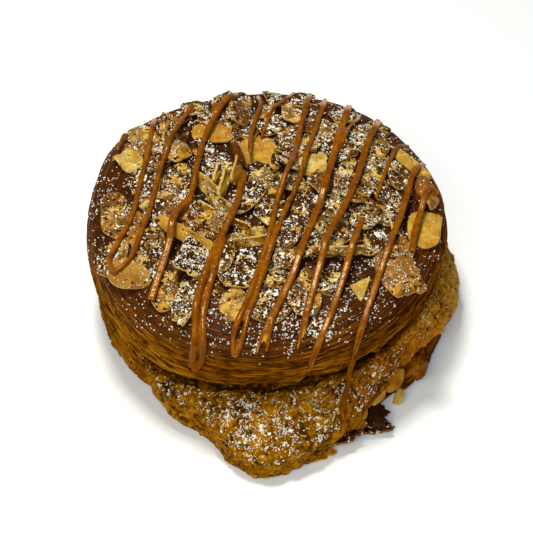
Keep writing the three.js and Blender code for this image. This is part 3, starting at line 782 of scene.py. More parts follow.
# %% The crumb tree
crumb_tree, given, result = new_tree("crusted_cream", [
    ("Lump Size", "Float"), ("Lump Depth", "Float"), ("Crumb Size", "Float"),
    ("Crumb Depth", "Float"), ("Material", "Material"),
])
spot = output(crumb_tree, "GeometryNodeInputPosition")
wobble = output(crumb_tree, "ShaderNodeTexNoise", {"Vector": spot, "Scale": 500.0}, "Color")
bent = spot + wobble * (0.0018, 0.0018, 0.0018)
uneven = ramp(noise(spot, 4.0), 0.35, 0.65, 0.35, 1.0)
fine = noise(spot, 1.3, 4.0, 0.65) - 0.5
crumb = fine * 1.1 + (0.45 - cells(bent, 1 / given("Crumb Size"))) * uneven
lumps = {"Vector": spot, "Scale": 1 / given("Lump Size"), "Detail": 2.0}
lump = output(crumb_tree, "ShaderNodeTexNoise", lumps) - 0.5
relief = crumb * given("Crumb Depth") + lump * given("Lump Depth")
raised = moved_out(given("Geometry"), relief * named(crumb_tree, "shown"))
# The relief's height is kept so that the colour can paint raised crumbs lighter and hollows darker, as
# painted light and shade.
raised = stored(raised, "crumb", lump + (crumb + 0.5))
finish_tree(above_table(raised), given, result)

# %% Cream material
cream_crust, tree, surface = new_material(
    "cream_crust", IOR=1.45, Specular_IOR_Level=0.06, Specular_Tint=WARM, Subsurface_Weight=0.08,
    Subsurface_Scale=0.002,
)
spot = object_place(tree)
crumbs = cells(spot, 1 / (0.9 * MM))
# Raised crumbs are painted lighter and hollows darker: painted light and shade.
tone = (noise(spot, 0.7, 4.0, 0.65) - 0.5) * 1.1 + attribute(tree, "crumb")
tone = (noise(spot, 9.0) - 0.5) * 0.6 + tone - attribute(tree, "bake") * 0.45
# Darker away from the middle of each crumb: painted shade in the pits between crumbs.
tone = (0.62 - crumbs) * 0.5 + tone
# Dark pores: painted shade in the holes of the crust.
shaded_pores = ramp(cells(spot, 1 / (1.9 * MM)), 0.12, 0.24, 1.0, 0.0) * ramp(noise(spot, 3.0), 0.5, 0.6)
CREAM = [
    (0.0, 64, 36, 0), (0.22, 116, 72, 0), (0.45, 156, 102, 0), (0.7, 184, 126, 6),
    (1.0, 204, 152, 30),
]
colour = blend(shaded_pores * 0.8, colour_steps(tone, CREAM), screen(62, 36, 0))
scorched = blend(1.0, colour, (1.0, 0.68, 0.5, 1.0), "MULTIPLY")
colour = blend(attribute(tree, "scorch"), colour, scorched)
dust = join_group(tree, dusting, Colour=colour, Sugar=attribute(tree, "sugar"), Cocoa=0.0, Grain=0.95)
feed(surface, Base_Color=dust("Colour"), Roughness=ramp(tone, 0.0, 1.0, 0.8, 0.6))
height = noise(spot, 0.5, 3.0, 0.6) * 0.8 + dust("Height") - (crumbs * 0.8 + shaded_pores)
raise_surface(surface, height, 0.9, 0.35)

# %% Almond cream
LUMP_RELIEF = 0.7
CREAM_SEGMENTS, UNDER_POINTS, CRUST_POINTS = 600, 16, 118


def cream_lump(angle, radius):
    """Lumps of the cream's crust, which fade towards the middle of the roll."""
    x, y = radius * np.cos(np.radians(angle)), radius * np.sin(np.radians(angle))
    return LUMP_RELIEF * np.sin(x / 2.1 + 0.4 * y) * np.sin(y / 1.9 - 0.3 * x)


def cream_height(angle, radius):
    """Height of the cream's crust outside the gap, falling from its lip to its brow."""
    reach = around(CREAM_RADIUS, angle)
    lip = min(LIP_RADIUS, reach - 1.2)
    share = np.clip((radius - lip) / (reach - lip), 0, 1)
    lip_height, brow = around(CREAM_LIP, angle), around(CREAM_BROW, angle)
    fall = lip_height + (brow - lip_height) * share**1.7
    return fall + share * cream_lump(angle, radius)


def over_lower_half(angle, radius):
    """Height just above the lower half, or far below where the cream hangs beside it."""
    edge = around(BASE_RADIUS, angle)
    top = around(BASE_RIM, angle)
    height = np.interp(radius, [0, edge - 2, edge + 0.2, edge + 0.5], [BASE_TOP, top, top - 1.4, -20])
    return height + GAP + 0.2


def cream_profile(angle):
    reach = around(CREAM_RADIUS, angle)
    base = around(BASE_RADIUS, angle)
    lip = min(LIP_RADIUS, reach - 1.2)
    foot = around(CREAM_FOOT, angle)
    wall = around(CREAM_BROW, angle) - foot
    depth = around(CREVICE_DEPTH, angle)
    hang = min(base + 0.5, reach - 1.3)
    plan = np.array([0, 15, 30, 40, min(base - 2, hang), hang])
    under = np.column_stack([plan, over_lower_half(angle, plan)])
    under[-1, 1] = max(foot, under[-1, 1])
    side = [[max(hang, reach - 3), foot], [reach - 1.2, foot + 0.15 * wall]]
    side.append([reach + 0.4 * cream_lump(angle, reach), foot + 0.45 * wall])
    side.append([reach - 0.3 + 0.4 * cream_lump(angle + 9, reach), foot + 0.75 * wall])
    plan = lip + (reach - lip) * np.linspace(0.96, 0, 14)
    outer = np.concatenate([side, np.column_stack([plan, cream_height(angle, plan)])])
    outer[:, 1] = np.maximum(outer[:, 1], over_lower_half(angle, outer[:, 0]))
    gap = [[lip - CREVICE_WIDTH, cream_height(angle, lip) - depth]]
    gap.append([CREVICE_RADIUS + 2, cut_height(angle, CREVICE_RADIUS + 2) - depth - GAP])
    outer = evenly(np.concatenate([outer, gap]), CRUST_POINTS)
    plan = np.array([CREVICE_RADIUS, 24, 12, 0])
    inner = np.column_stack([plan, cut_height(angle, plan) - GAP])
    rows = np.concatenate([evenly(under, UNDER_POINTS), outer, inner])
    radius, height = rows.T
    front = smooth(-30, -44, reach * np.sin(np.radians(angle)))
    right = smooth(-90, -40, angle) * smooth(30, 0, angle)
    shown = smooth(0, 1.2, np.abs(radius - hang) + np.abs(height - foot)) * smooth(39, 43, radius)
    buried = height - cream_height(angle, radius)
    top = smooth(lip - 1, lip + 1.5, radius) * smooth(-2.2, -0.6, buried)
    # The far right of the cream is painted lighter, as painted light.
    far_right = smooth(-48, -20, angle) * smooth(50, 20, angle)
    # Inside the lip, towards the gap under the upper half, the cream is painted darker as shade. It is
    # also a little darker wherever it isn't the top.
    bake = 0.32 + 0.38 * smooth(0.5, 3, lip - radius) + 0.04 * (1 - top) - 0.95 * far_right
    tongue_sugar = 0.64 * front * smooth(-48, -62, angle)
    right_sugar = 0.46 * right * (1 - 0.4 * far_right)
    sugar = top * np.clip(tongue_sugar + right_sugar, 0, 0.66)
    shown[:UNDER_POINTS], sugar[:UNDER_POINTS] = 0, 0
    scorch = smooth(-76, -54, angle) * smooth(-6, -36, angle)
    scorch = scorch * (0.25 + 0.5 * smooth(lip - 1, lip + 3, radius))
    return np.column_stack([rows, shown, top, bake, sugar, scorch])


CREAM_MARKS = ["shown", "top", "bake", "sugar", "scorch"]
baked_cream = turned_piece("baked_cream", cream_profile, CREAM_SEGMENTS, CREAM_MARKS)
CRUST_SIZES = {
    "Lump Size": 5.5 * MM, "Lump Depth": 2.8 * MM, "Crumb Size": 1.7 * MM, "Crumb Depth": 0.9 * MM,
}
grown(baked_cream, crumb_tree, CRUST_SIZES | {"Material": cream_crust})

# %% [markdown]
# ## Where each almond lies
# Flaked almonds are thin slices, about a millimetre thick. They settle on whatever is already there,
# so they are laid one after another on a height map, as they fell. The list gives each flake's place,
# length, width, heading, its outline, how toasted it is and how much dust covers it. A flake that leans
# has its angle too. The lowest flake comes first.

# %% Table of almonds
FLAKE_THICKNESS, FLAKE_SINK, STEEPEST_REST = 1.1, 0.4, 0.3
SMALL_FLAKES, SMALL_LENGTH, SMALL_SPREAD, GOLDEN_ANGLE = 10, (7, 10), 39, 137.508
OUTLINES = ["drop", "oval", "broken", "jagged", "heart", "triangle", "corner", "sliver"]
DROP, OVAL, BROKEN, JAGGED, HEART, TRIANGLE, CORNER, SLIVER = range(8)

LARGE_FLAKES = [
    (2, -33, 18, 13, 65, OVAL, 0.35, 0.75), (10, -4, 18, 9.5, 76, OVAL, 0.4, 0.85),
    (-41, -3, 19, 9, 101, DROP, 0.45, 0.58), (-14, 14, 14, 9.5, 100, OVAL, 0.2, 0.85),
    (-25, 10, 12.5, 8.5, 68, OVAL, 0.3, 0.7), (30, -14, 12.5, 9, 28, BROKEN, 0.3, 0.85),
    (35, -1, 13, 8.5, 66, OVAL, 0.25, 0.75), (31, 14, 12, 8.5, 52, OVAL, 0.25, 0.7),
    (7, 27, 14.5, 6.5, 96, OVAL, 0.75, 0.7), (-32, 5, 13, 5.5, 72, DROP, 0.35, 0.65),
    (1, 9, 11, 8.5, 8, BROKEN, 0.15, 0.6), (-36, -9, 13, 5.5, 78, SLIVER, 0.6, 0.4),
    (27, 28, 9, 6.5, 60, OVAL, 0.4, 0.8), (18, 30, 10.5, 6.5, 76, CORNER, 0.2, 0.55),
    (-30, 24, 10.5, 6, 82, OVAL, 0.45, 0.7), (38, 11, 10, 6.5, 100, OVAL, 0.4, 0.75),
    (-26, -31, 14, 6.5, 78, DROP, 0.45, 0.6), (-8, -36, 11, 7.5, 82, OVAL, 0.3, 0.45),
    (18, -27, 11.5, 6.5, 76, OVAL, 0.2, 0.85), (12, -27, 9, 5.5, 82, OVAL, 0.2, 0.7),
    (6, -19, 9.5, 6.5, 70, CORNER, 0.2, 0.7), (-27, -7, 9.5, 6.5, 30, OVAL, 0.6, 0.75),
    (-17, -10, 10, 5.5, -14, OVAL, 0.4, 0.75), (-36, 28, 10.5, 7.5, 132, DROP, 0.25, 0.45),
    (-37, 21, 9, 6, 122, CORNER, 0.6, 0.5), (33, 22, 9.5, 6, 70, OVAL, 0.2, 0.6),
    (-30, 17, 8, 6.5, 40, CORNER, 0.7, 0.7), (-5, -12, 11.5, 5, 14, SLIVER, 0.25, 0.6),
    (27, 0, 10.5, 6, 18, BROKEN, 0.5, 0.7), (-41, -19, 12, 8.5, 62, OVAL, 0.4, 0.62),
    (37, -17, 11, 7.5, 62, CORNER, 0.6, 0.35), (2, 1, 9.5, 6.5, 58, CORNER, 0.3, 0.6),
    (23, 14, 10, 5, 70, SLIVER, 0.15, 0.6), (-7, -24, 15, 11.5, 86, OVAL, 0.3, 0.9),
    (-31, -16, 13, 8, 68, DROP, 0.35, 0.65), (-27, 1, 9.5, 7, 62, OVAL, 0.5, 0.6),
    (22, -11, 12, 7.5, 50, BROKEN, 0.4, 0.75), (18, -17, 9, 6.5, -10, CORNER, 0.15, 0.5),
    (14, 15, 11, 8.5, 18, CORNER, 0.1, 0.22), (-25, 35, 8.5, 5.5, 20, DROP, 0.6, 0.6),
    (-36, -26, 12, 8.5, -24, DROP, 0.42, 0.3), (-39, 17, 9.5, 7.5, 140, CORNER, 0.2, 0.2),
    (42, 17, 14.5, 5, -52, SLIVER, 0.35, 0.15), (25, -30, 11, 6.5, 72, TRIANGLE, 0.15, 0.18),
    (-20, -33, 21, 7, 76, JAGGED, 0.2, 0.8), (-15, 27.5, 12.5, 7.5, -20, DROP, 0.42, 0.15),
    (-2, 21, 12.5, 12, -90, HEART, 0.35, 0.1), (44.3, -7, 15.5, 9.5, 80, BROKEN, 0.35, 0.12),
    (37, -26, 18, 11.5, -56, CORNER, 0.5, 0.46),
]
LEANING_FLAKES = [
    (-21.5, -13.5, 18, 4.6, -28, SLIVER, 0.3, 0.12, 48), (-8, 10.5, 11, 5, 82, SLIVER, 0.4, 0.2, 66),
    (-7, 17, 10, 5, -64, OVAL, 0.85, 0.3, 70), (-11.5, 5, 9, 4.5, 78, SLIVER, 0.25, 0.2, 68),
    (-16, 6, 9, 5, -50, SLIVER, 0.3, 0.3, 58), (-12.5, -0.5, 11, 4.5, -46, SLIVER, 0.2, 0.5, 55),
    (-24, 19, 9, 5.5, 40, BROKEN, 0.4, 0.4, 30), (-13.5, -8, 9, 6, -38, BROKEN, 0.3, 0.6, 25),
    (45.5, 6, 9, 5.5, -50, CORNER, 0.75, 0.2, 40), (47, 2, 8, 4, 76, CORNER, 0.55, 0.15, 48),
    (-17, 8.5, 9, 3.6, -42, SLIVER, 0.2, 0.3, 76),
    (-13.5, 9, 7, 3.4, 84, SLIVER, 0.15, 0.3, 74), (-14, -4, 12, 3.2, -38, SLIVER, 0.25, 0.4, 78),
    (-9, -7.5, 13, 3, -34, SLIVER, 0.5, 0.4, 80), (-4, -15, 12, 3.4, 10, SLIVER, 0.3, 0.4, 72),
    (20, -20, 16, 3.4, 8, SLIVER, 0.3, 0.5, 66),
]

# %% Laying them
HALF_MAP = 56  # the map's cells are a millimetre wide


def seeded_draws(seed):
    """Even draws between two bounds, the same on every run."""
    state = seed

    def draw(low, high):
        nonlocal state
        state = state * 16807 % 2147483647
        return low + (high - low) * state / 2147483647

    return draw


def nearest(value):
    return int(math.floor(value + 0.5))


axis = np.arange(-HALF_MAP, HALF_MAP + 1)
piled = crown_height(*np.meshgrid(axis.astype(float), axis.astype(float)))


def own_directions(columns, rows, x, y, heading):
    """Cells of the map measured along and across a flake that lies at a place."""
    cos, sin = math.cos(math.radians(heading)), math.sin(math.radians(heading))
    columns, rows = columns - x, rows - y
    return columns * cos + rows * sin, rows * cos - columns * sin


def lay_flake(x, y, length, width, heading, lean=0.0):
    """Lays a flake on the highest points under it and returns the frame that it takes."""
    across = width * math.cos(math.radians(lean))
    reach = math.ceil(length / 2)
    rows, columns = np.mgrid[-reach : reach + 1, -reach : reach + 1]
    rows, columns = rows + nearest(y), columns + nearest(x)
    u, v = own_directions(columns, rows, x, y, heading)
    beneath = piled[rows + HALF_MAP, columns + HALF_MAP]
    inside = ((2 * u / length) ** 2 + (2 * v / across) ** 2 <= 1) & (beneath > 0)

    def slope(place_along, span):
        rise = beneath[inside & (place_along > span / 8)].max()
        rise -= beneath[inside & (place_along < -span / 8)].max()
        return float(np.clip(rise / (0.7 * span), -STEEPEST_REST, STEEPEST_REST))

    slope_u = slope(u, length)
    slope_v = 0.0 if lean > 0 else slope(v, across)
    tilt = slope_u * u + slope_v * v
    rest = (beneath - tilt)[inside].max() - FLAKE_SINK
    if lean == 0:
        raised = np.maximum(beneath, rest + tilt + FLAKE_THICKNESS)
        piled[rows + HALF_MAP, columns + HALF_MAP] = np.where(inside, raised, beneath)
    cos, sin = math.cos(math.radians(heading)), math.sin(math.radians(heading))
    along = Vector((cos, sin, slope_u)).normalized()
    normal = along.cross(Vector((-sin, cos, slope_v))).normalized()
    normal.rotate(Matrix.Rotation(math.radians(lean), 3, along))
    side = normal.cross(along)
    lift = rest + FLAKE_THICKNESS / 2 + 0.4 * width * math.sin(math.radians(lean))
    turn = Matrix((along, side, normal)).transposed().to_euler()
    return (x, y, lift), tuple(turn)


draw = seeded_draws(20)
flake_rows = []
for number in range(SMALL_FLAKES):
    turn = math.radians(number * GOLDEN_ANGLE)
    spread = SMALL_SPREAD * math.sqrt((number + 0.5) / SMALL_FLAKES)
    length = draw(*SMALL_LENGTH)
    width = length * draw(0.55, 0.75)
    place_on = (spread * math.cos(turn), spread * math.sin(turn), length, width, draw(0, 180))
    flake_rows.append((*place_on, [OVAL, CORNER, BROKEN][number % 3], 0.3, 0.8))
flake_rows += LARGE_FLAKES + LEANING_FLAKES
laid = [lay_flake(*row[:5], *row[8:]) for row in flake_rows]
print(len(laid), "flakes laid from the list")

# %% [markdown]
# The list holds the flakes that stand out. Between them lie smaller dusted ones, and they follow a rule:
# a place is tried again and again, and a flake falls there if it covers enough bare crust and hides
# none of the clean flakes on top.

# %% Filling the gaps
TRIES, PLACES_ROUND, LATE_TRIES, FIELD_RADIUS, FIELD_SHIFT = 1500, 350, 700, 46.0, 1.5
RIM_FROM, RIM_LENGTH, BARE_SHARE, BARE_SHARE_AT_RIM, HIDDEN_SHARE = 39, 9.5, 0.5, 0.72, 0.1


def footprint(x, y, length, width, heading):
    """The cells of the map that a flake covers."""
    u, v = own_directions(*np.meshgrid(axis, axis), x, y, heading)
    return (2 * u / length) ** 2 + (2 * v / width) ** 2 <= 1


covered = np.zeros(piled.shape, bool)
clean = np.zeros(piled.shape, bool)
for row in flake_rows:
    under_flake = footprint(*row[:5])
    covered |= under_flake
    if row[7] < 0.5 or len(row) > 8:
        clean |= under_flake
draw = seeded_draws(41)
for number in range(TRIES):
    turn = math.radians(number * GOLDEN_ANGLE)
    spread = FIELD_RADIUS * math.sqrt((number % PLACES_ROUND + 0.5) / PLACES_ROUND)
    x, y = spread * math.cos(turn) + draw(-1, 1), spread * math.sin(turn) + FIELD_SHIFT + draw(-1, 1)
    length = draw(8.5, 14) - 2 * (number > LATE_TRIES)
    if math.hypot(x, y) > 36:
        length = min(length, RIM_LENGTH)
    row = (x, y, length, length * draw(0.55, 0.8), draw(30, 130))
    if math.hypot(x, y) + 0.4 * length > 42 + 6.6 * smooth(0, 26, y):
        continue
    under_flake = footprint(*row)
    size = under_flake.sum()
    at_rim = math.hypot(x, y) > RIM_FROM
    if (under_flake & ~covered).sum() / size < (BARE_SHARE_AT_RIM if at_rim else BARE_SHARE):
        continue
    if (under_flake & clean).sum() / size > HIDDEN_SHARE:
        continue
    kind = [OVAL, DROP, BROKEN, CORNER, OVAL, SLIVER][int(draw(0, 6))]
    lean = (draw(18, 48),) if draw(0, 1) > 0.72 and not at_rim else ()
    flake_rows.append((*row, kind, draw(0.1, 0.7), draw(0.6, 0.95), *lean))
    laid.append(lay_flake(*row, *lean))
    covered |= under_flake
print(len(laid), "flakes with those that fill the gaps")

# %% [markdown]
# ## Flakes as instances
# There are only a few kinds of outline: a drop, an oval, one with a broken end, a jagged one,
# a notched heart, a triangle, a corner piece and a sliver. Each kind is modelled once, one unit long, wide
# and thick, with a worn edge and a slight bow. Geometry Nodes then puts a copy at every place with its own
# size, and hands over the toast and dust of that place to the material.

# %% Outlines of the flakes
CUTS = {
    "drop": [], "oval": [], "broken": [(8, 0.33)], "jagged": [(3, 0.44), (176, 0.45), (86, 0.46)],
    "heart": [], "triangle": [(32, 0.17), (148, 0.19), (-90, 0.36)],
    "corner": [(-14, 0.36), (72, 0.37)], "sliver": [(90, 0.33), (-172, 0.46)],
}


def flake_outline(kind, spokes, chips):
    """Distance from a flake's middle to its edge, in each direction."""
    turns = np.linspace(-np.pi, np.pi, spokes, endpoint=False)
    square = {"sliver": 3.6, "broken": 2.6, "corner": 2.6, "splinter": 3.0}.get(kind, 2.1)
    reach = 0.5 / (np.abs(np.cos(turns)) ** square + np.abs(np.sin(turns)) ** square) ** (1 / square)
    rough = 3.0 if kind in ("shard", "splinter") else 1.0
    for cut_angle, distance in CUTS[kind]:
        facing = np.cos(turns - np.radians(cut_angle))
        straight = distance / np.maximum(facing, 1e-3)
        teeth = rough * (0.014 * np.sin(turns * 17 + cut_angle) + 0.012 * np.sin(turns * 11))
        reach = np.where((facing > 0.2) & (straight < reach), straight + teeth, reach)
    if kind == "heart":
        reach = reach * (1 - 0.3 * np.exp(-((turns / 0.26) ** 2)))
    wave = sum(chips(-0.012, 0.012) * np.sin(k * turns + chips(0, 6)) for k in range(2, 8))
    reach = np.clip(reach + wave, 0.1, 0.56)
    taper = {"drop": 0.28, "heart": -0.16, "oval": 0.1}.get(kind, 0.0)
    return reach * np.cos(turns), reach * np.sin(turns) * (1 - taper * np.cos(turns))


def flake_piece(name, kind, seed):
    """A flake one unit long, wide and thick, bowed along its length, with a worn edge."""
    spokes = 44
    chips = seeded_draws(seed)
    x, y = flake_outline(kind, spokes, chips)
    shares = [0, 0.35, 0.65, 0.88, 0.97, 1.0, 1.0, 0.97, 0.88, 0.6, 0.3, 0]
    levels = [-0.5, -0.5, -0.5, -0.5, -0.48, -0.3, 0.3, 0.48, 0.5, 0.5, 0.5, 0.5]
    rims = [0, 0, 0, 0, 1, 1, 0.8, 0.1, 0, 0, 0, 0]
    ripple = chips(0.08, 0.14)
    points = []
    for share, level in zip(shares, levels):
        for u, v in zip(x * share, y * share):
            bow = 0.28 - 2.2 * u * u
            points.append([u, v, level + bow + 2.4 * ripple * math.sin(6 * u + 7 * v + seed)])
    rings = len(shares) - 1
    poles = [points[0], points[-1]]
    points = poles + points[spokes : spokes * rings]
    faces = []
    for spoke in range(spokes):
        after = (spoke + 1) % spokes
        faces.append([0, 2 + after, 2 + spoke])
        top = 2 + (rings - 2) * spokes
        faces.append([1, top + spoke, top + after])
        for ring in range(rings - 2):
            low = 2 + ring * spokes
            faces.append([low + spoke, low + after, low + spokes + after, low + spokes + spoke])
    piece = new_piece(name, np.array(points) / MM, faces)
    mark(piece.data, "rim", [0, 0, *np.repeat(rims[1:-1], spokes)])
    bpy.context.scene.collection.objects.unlink(piece)
    return piece


flake_kinds = bpy.data.collections.new("flake_kinds")
for number, kind in enumerate(OUTLINES):
    flake_kinds.objects.link(flake_piece(f"flake_{number}_{kind}", kind, 3 + number))

# %% Almond material
almond, tree, surface = new_material(
    "flaked_almond", IOR=1.45, Specular_IOR_Level=0.25, Specular_Tint=WARM, Subsurface_Weight=0.1,
    Subsurface_Scale=0.0015,
)
spot = object_place(tree)
rim = attribute(tree, "rim")
toast = (noise(spot, 3.2, 3.0) - 0.5) + attribute(tree, "toast")
ALMOND = [
    (0.0, 220, 194, 116), (0.25, 204, 162, 60), (0.5, 180, 118, 6), (0.75, 138, 76, 0),
    (1.0, 80, 36, 0),
]
amount = calc("POWER", attribute(tree, "dust"), 0.75) * ramp(rim, 0.0, 1.0, 1.0, 0.15)
# The flakes' edges are painted a paler cream: a painted highlight along the rim.
dust = join_group(
    tree, dusting, Colour=blend(rim * 0.45, colour_steps(toast, ALMOND), screen(226, 194, 112)),
    Sugar=amount * 0.8 - 0.06, Cocoa=amount * 1.1, Powder=amount * 0.26, Grain=0.95,
)
feed(surface, Base_Color=dust("Colour"), Roughness=ramp(dust("Height"), 0.0, 1.0, 0.5, 0.9))
raise_surface(surface, noise(spot, 0.9, 3.0, 0.6) * 0.5 + dust("Height"), 0.7, 0.22)

# %% The flake tree
flake_tree, given, result = new_tree(
    "laid_flakes", [("Kinds", "Collection"), ("Thickness", "Float"), ("Material", "Material")]
)
kinds = output(flake_tree, "GeometryNodeCollectionInfo", {
    "Collection": given("Kinds"), "Separate Children": True, "Reset Children": True,
})
turn = output(flake_tree, "FunctionNodeEulerToRotation", {
    "Euler": named(flake_tree, "turn", "FLOAT_VECTOR"),
})
size = output(flake_tree, "ShaderNodeCombineXYZ", {
    "X": named(flake_tree, "length"), "Y": named(flake_tree, "width"), "Z": given("Thickness"),
})
copies = output(flake_tree, "GeometryNodeInstanceOnPoints", {
    "Points": given("Geometry"), "Instance": kinds, "Pick Instance": True,
    "Instance Index": named(flake_tree, "outline", "INT"), "Rotation": turn, "Scale": size,
})
finish_tree(copies, given, result)

# %% Almonds on the crown


def flakes_at(name, places, turns, rows, thickness, material):
    """Flakes of the given rows (length, width, outline, toast, dust) at their places."""
    piece = new_piece(name, places, [])
    mark(piece.data, "turn", np.array(turns), "FLOAT_VECTOR")
    lengths, widths, outlines, toasts, dusts = np.array(rows, float).T
    mark(piece.data, "outline", outlines.astype(int), "INT")
    sizes = {"length": lengths * MM, "width": widths * MM, "toast": toasts, "dust": dusts}
    for mark_name, values in sizes.items():
        mark(piece.data, mark_name, values)
    values = {"Kinds": flake_kinds, "Thickness": thickness * MM, "Material": material}
    return grown(piece, flake_tree, values)


crown_rows = [(row[2], row[3], *row[5:8]) for row in flake_rows]
crown_almonds = flakes_at(
    "crown_almonds", [p for p, _ in laid], [t for _, t in laid], crown_rows, 0.8, almond
)

# %% [markdown]
# ## Caramel
# Caramel falls from a spoon in long strands. Where the spoon turned, two strands lie side by side and
# melt into one rope with a groove along its middle. Each strand is a line draped over the almonds and
# stretched over the hollows between them. Geometry Nodes sweeps a round along the lines, and a voxel
# remesh melts what touches into one skin, which no sweep alone can do.

# %% Table of strands
WALL = "wall"  # a stop that hangs on the wall, as (WALL, angle, height); the others are (x, y)
CARAMEL = [  # half thickness, strands side by side, and the way
    (0.6, 1, [(-39.5, 29), (-41, 24), (-42, 20)]),
    (0.8, 1, [(-32, 34), (-34, 13), (-37, -7), (-41.5, -20), (-42, -24.5), (-38.5, -25.5),
              (-33, -11), (-29.5, 10), (-25, 27), (-21, 39)]),
    (0.92, 1, [(-8, 43.5), (-13.5, 33), (-17, 24), (-19.5, 7), (-20.5, 0), (-24, -7)]),
    (1.1, 2, [(-20.5, 0), (-24, -7), (-25.5, -17), (-28.5, -29), (-30, -35)]),
    (0.88, 1, [(-15, 41), (-14, 32.5)]),
    (0.72, 1, [(-2, 45), (-1, 39.5), (-3, 29.5), (-4, 22.5), (-4, 15)]),
    (1.08, 1, [(-5.5, 11), (-8, -4.5), (-12.5, -17), (-16, -28.5), (-18, -38), (WALL, -111.5, 37),
              (WALL, -112.5, 27.5)]),
    (1.02, 1, [(-10.9, -15), (-13.5, -26.5), (-15.9, -38), (WALL, -108.9, 37), (WALL, -109.8, 27.6),
              (WALL, -111.6, 26.2)]),
    (0.56, 1, [(9, 45), (6, 41), (2.5, 36), (0.5, 29), (-1, 25)]),
    (0.88, 1, [(13.5, 44), (10.5, 28.5), (8, 12.5), (4, -1), (0.5, -18), (-4, -34), (-7.5, -44),
              (WALL, -100.3, 37), (WALL, -99, 35.4)]),
    (0.8, 1, [(18, 42.5), (15, 30), (12.5, 19.5), (9.5, 5.5), (4, -11), (-0.5, -27.5), (-5, -43),
              (WALL, -97.4, 37), (WALL, -98.6, 35.2)]),
    (1.06, 2, [(25, 40.5), (22, 27), (18.5, 11), (15.5, -2.5), (11.5, -14.5), (7.5, -27.5),
               (3.5, -37), (0.5, -44), (WALL, -92, 36)]),
    (0.64, 1, [(2.8, -38), (1.6, -44), (WALL, -89.3, 37)]),
    (0.56, 1, [(28, 34.5), (25, 30), (23.5, 24.5), (21, 18)]),
    (1.01, 2, [(33.5, 33), (30, 23.5), (26.5, 9.5), (22.5, -3.5), (18, -14), (15, -25), (11.5, -38),
              (WALL, -79.5, 36.5)]),
    (0.64, 1, [(42, 26.5), (38.5, 23), (34.5, 12), (31, 0)]),
    (0.97, 2, [(27, -7.5), (23.5, -20), (19, -34.5), (15.5, -44), (WALL, -75.5, 34),
               (WALL, -75.8, 27)]),
    (0.97, 2, [(46, 20), (42.5, 12.5), (39.5, 1), (35.5, -13), (31, -26), (27.5, -36.5),
               (WALL, -60.8, 35), (WALL, -61.6, 26.5)]),
    (0.97, 2, [(48, 8), (45.5, 3.5), (44, -1), (42.5, -6.5), (41, -12), (40, -18)]),
]
SPILT_WAY = [(22.8, -45.6), (22.2, -47.6), (21.4, -49.8), (21.3, -52.8)]
STRAND_STEP, DRAPE_STEP, DEEPEST_SAG = 0.55, 6.2, 0.25
PRESSED, PAIR_OFFSET = 0.45, 0.44  # shares of a strand's half thickness
STRIP_ALONG, STRIP_OVER = np.linspace(-0.45, 0.45, 25), np.linspace(-0.45, 0.45, 13)

# %% Draping the strands
for (middle, turn), row in zip(laid, flake_rows):
    if len(row) > 8:
        spin = Euler(turn).to_matrix()
        for along, over in ((u, v) for u in STRIP_ALONG for v in STRIP_OVER):
            x, y, z = Vector(middle) + spin @ Vector((along * row[2], over * row[3], 0.4))
            row_at, column_at = nearest(y) + HALF_MAP, nearest(x) + HALF_MAP
            piled[row_at, column_at] = max(piled[row_at, column_at], z)


def flowing_line(knots, step):
    """A smooth line through its knots, cut into even steps."""
    knots = np.asarray(knots, float)
    knots = np.concatenate([[2 * knots[0] - knots[1]], knots, [2 * knots[-1] - knots[-2]]])
    gaps = np.maximum(np.linalg.norm(np.diff(knots, axis=0), axis=1), 1e-4) ** 0.5
    share = np.linspace(0, 1, 25)[:-1, None]
    line = []
    for first in range(len(knots) - 3):
        k0, k1, k2, k3 = knots[first : first + 4]
        d0, d1, d2 = gaps[first : first + 3]
        leave = ((k1 - k0) / d0 - (k2 - k0) / (d0 + d1) + (k2 - k1) / d1) * d1
        arrive = ((k2 - k1) / d1 - (k3 - k1) / (d1 + d2) + (k3 - k2) / d2) * d1
        rise = share**2 * (3 - 2 * share)
        pull = share * (1 - share) ** 2 * leave + share**2 * (share - 1) * arrive
        line.append(k1 + (k2 - k1) * rise + pull)
    line = np.concatenate([*line, knots[-2:-1]])
    length = np.linalg.norm(np.diff(line, axis=0), axis=1).sum()
    return evenly(line, max(4, round(length / step) + 1))


def near_height(x, y, reach):
    """The highest point of the pile close to a place."""
    row, column = nearest(y) + HALF_MAP, nearest(x) + HALF_MAP
    return piled[row - reach : row + reach + 1, column - reach : column + reach + 1].max()


def shoulder_radius(height):
    top = CROWN_HEIGHT - CROWN_FALL * SHOULDER_RADIUS**2
    rise = min(max((height - WIDEST_HEIGHT) / (top - WIDEST_HEIGHT), 0), 0.98)
    share = (1 - rise**SHOULDER_POWER) ** (1 / SHOULDER_POWER)
    return SHOULDER_RADIUS + (ROUND_RADIUS - SHOULDER_RADIUS) * share


def stop_point(stop, thick):
    """A stop of a strand's way as a point."""
    if stop[0] != WALL:
        return [*stop, float(crown_height(*stop)) + 0.6 * thick]
    _, angle, height = stop
    radius = shoulder_radius(height) if height > WIDEST_HEIGHT else wall_radius(angle, height)
    turn, radius = math.radians(angle), radius + 0.6 * thick
    return [radius * math.cos(turn), radius * math.sin(turn), height]


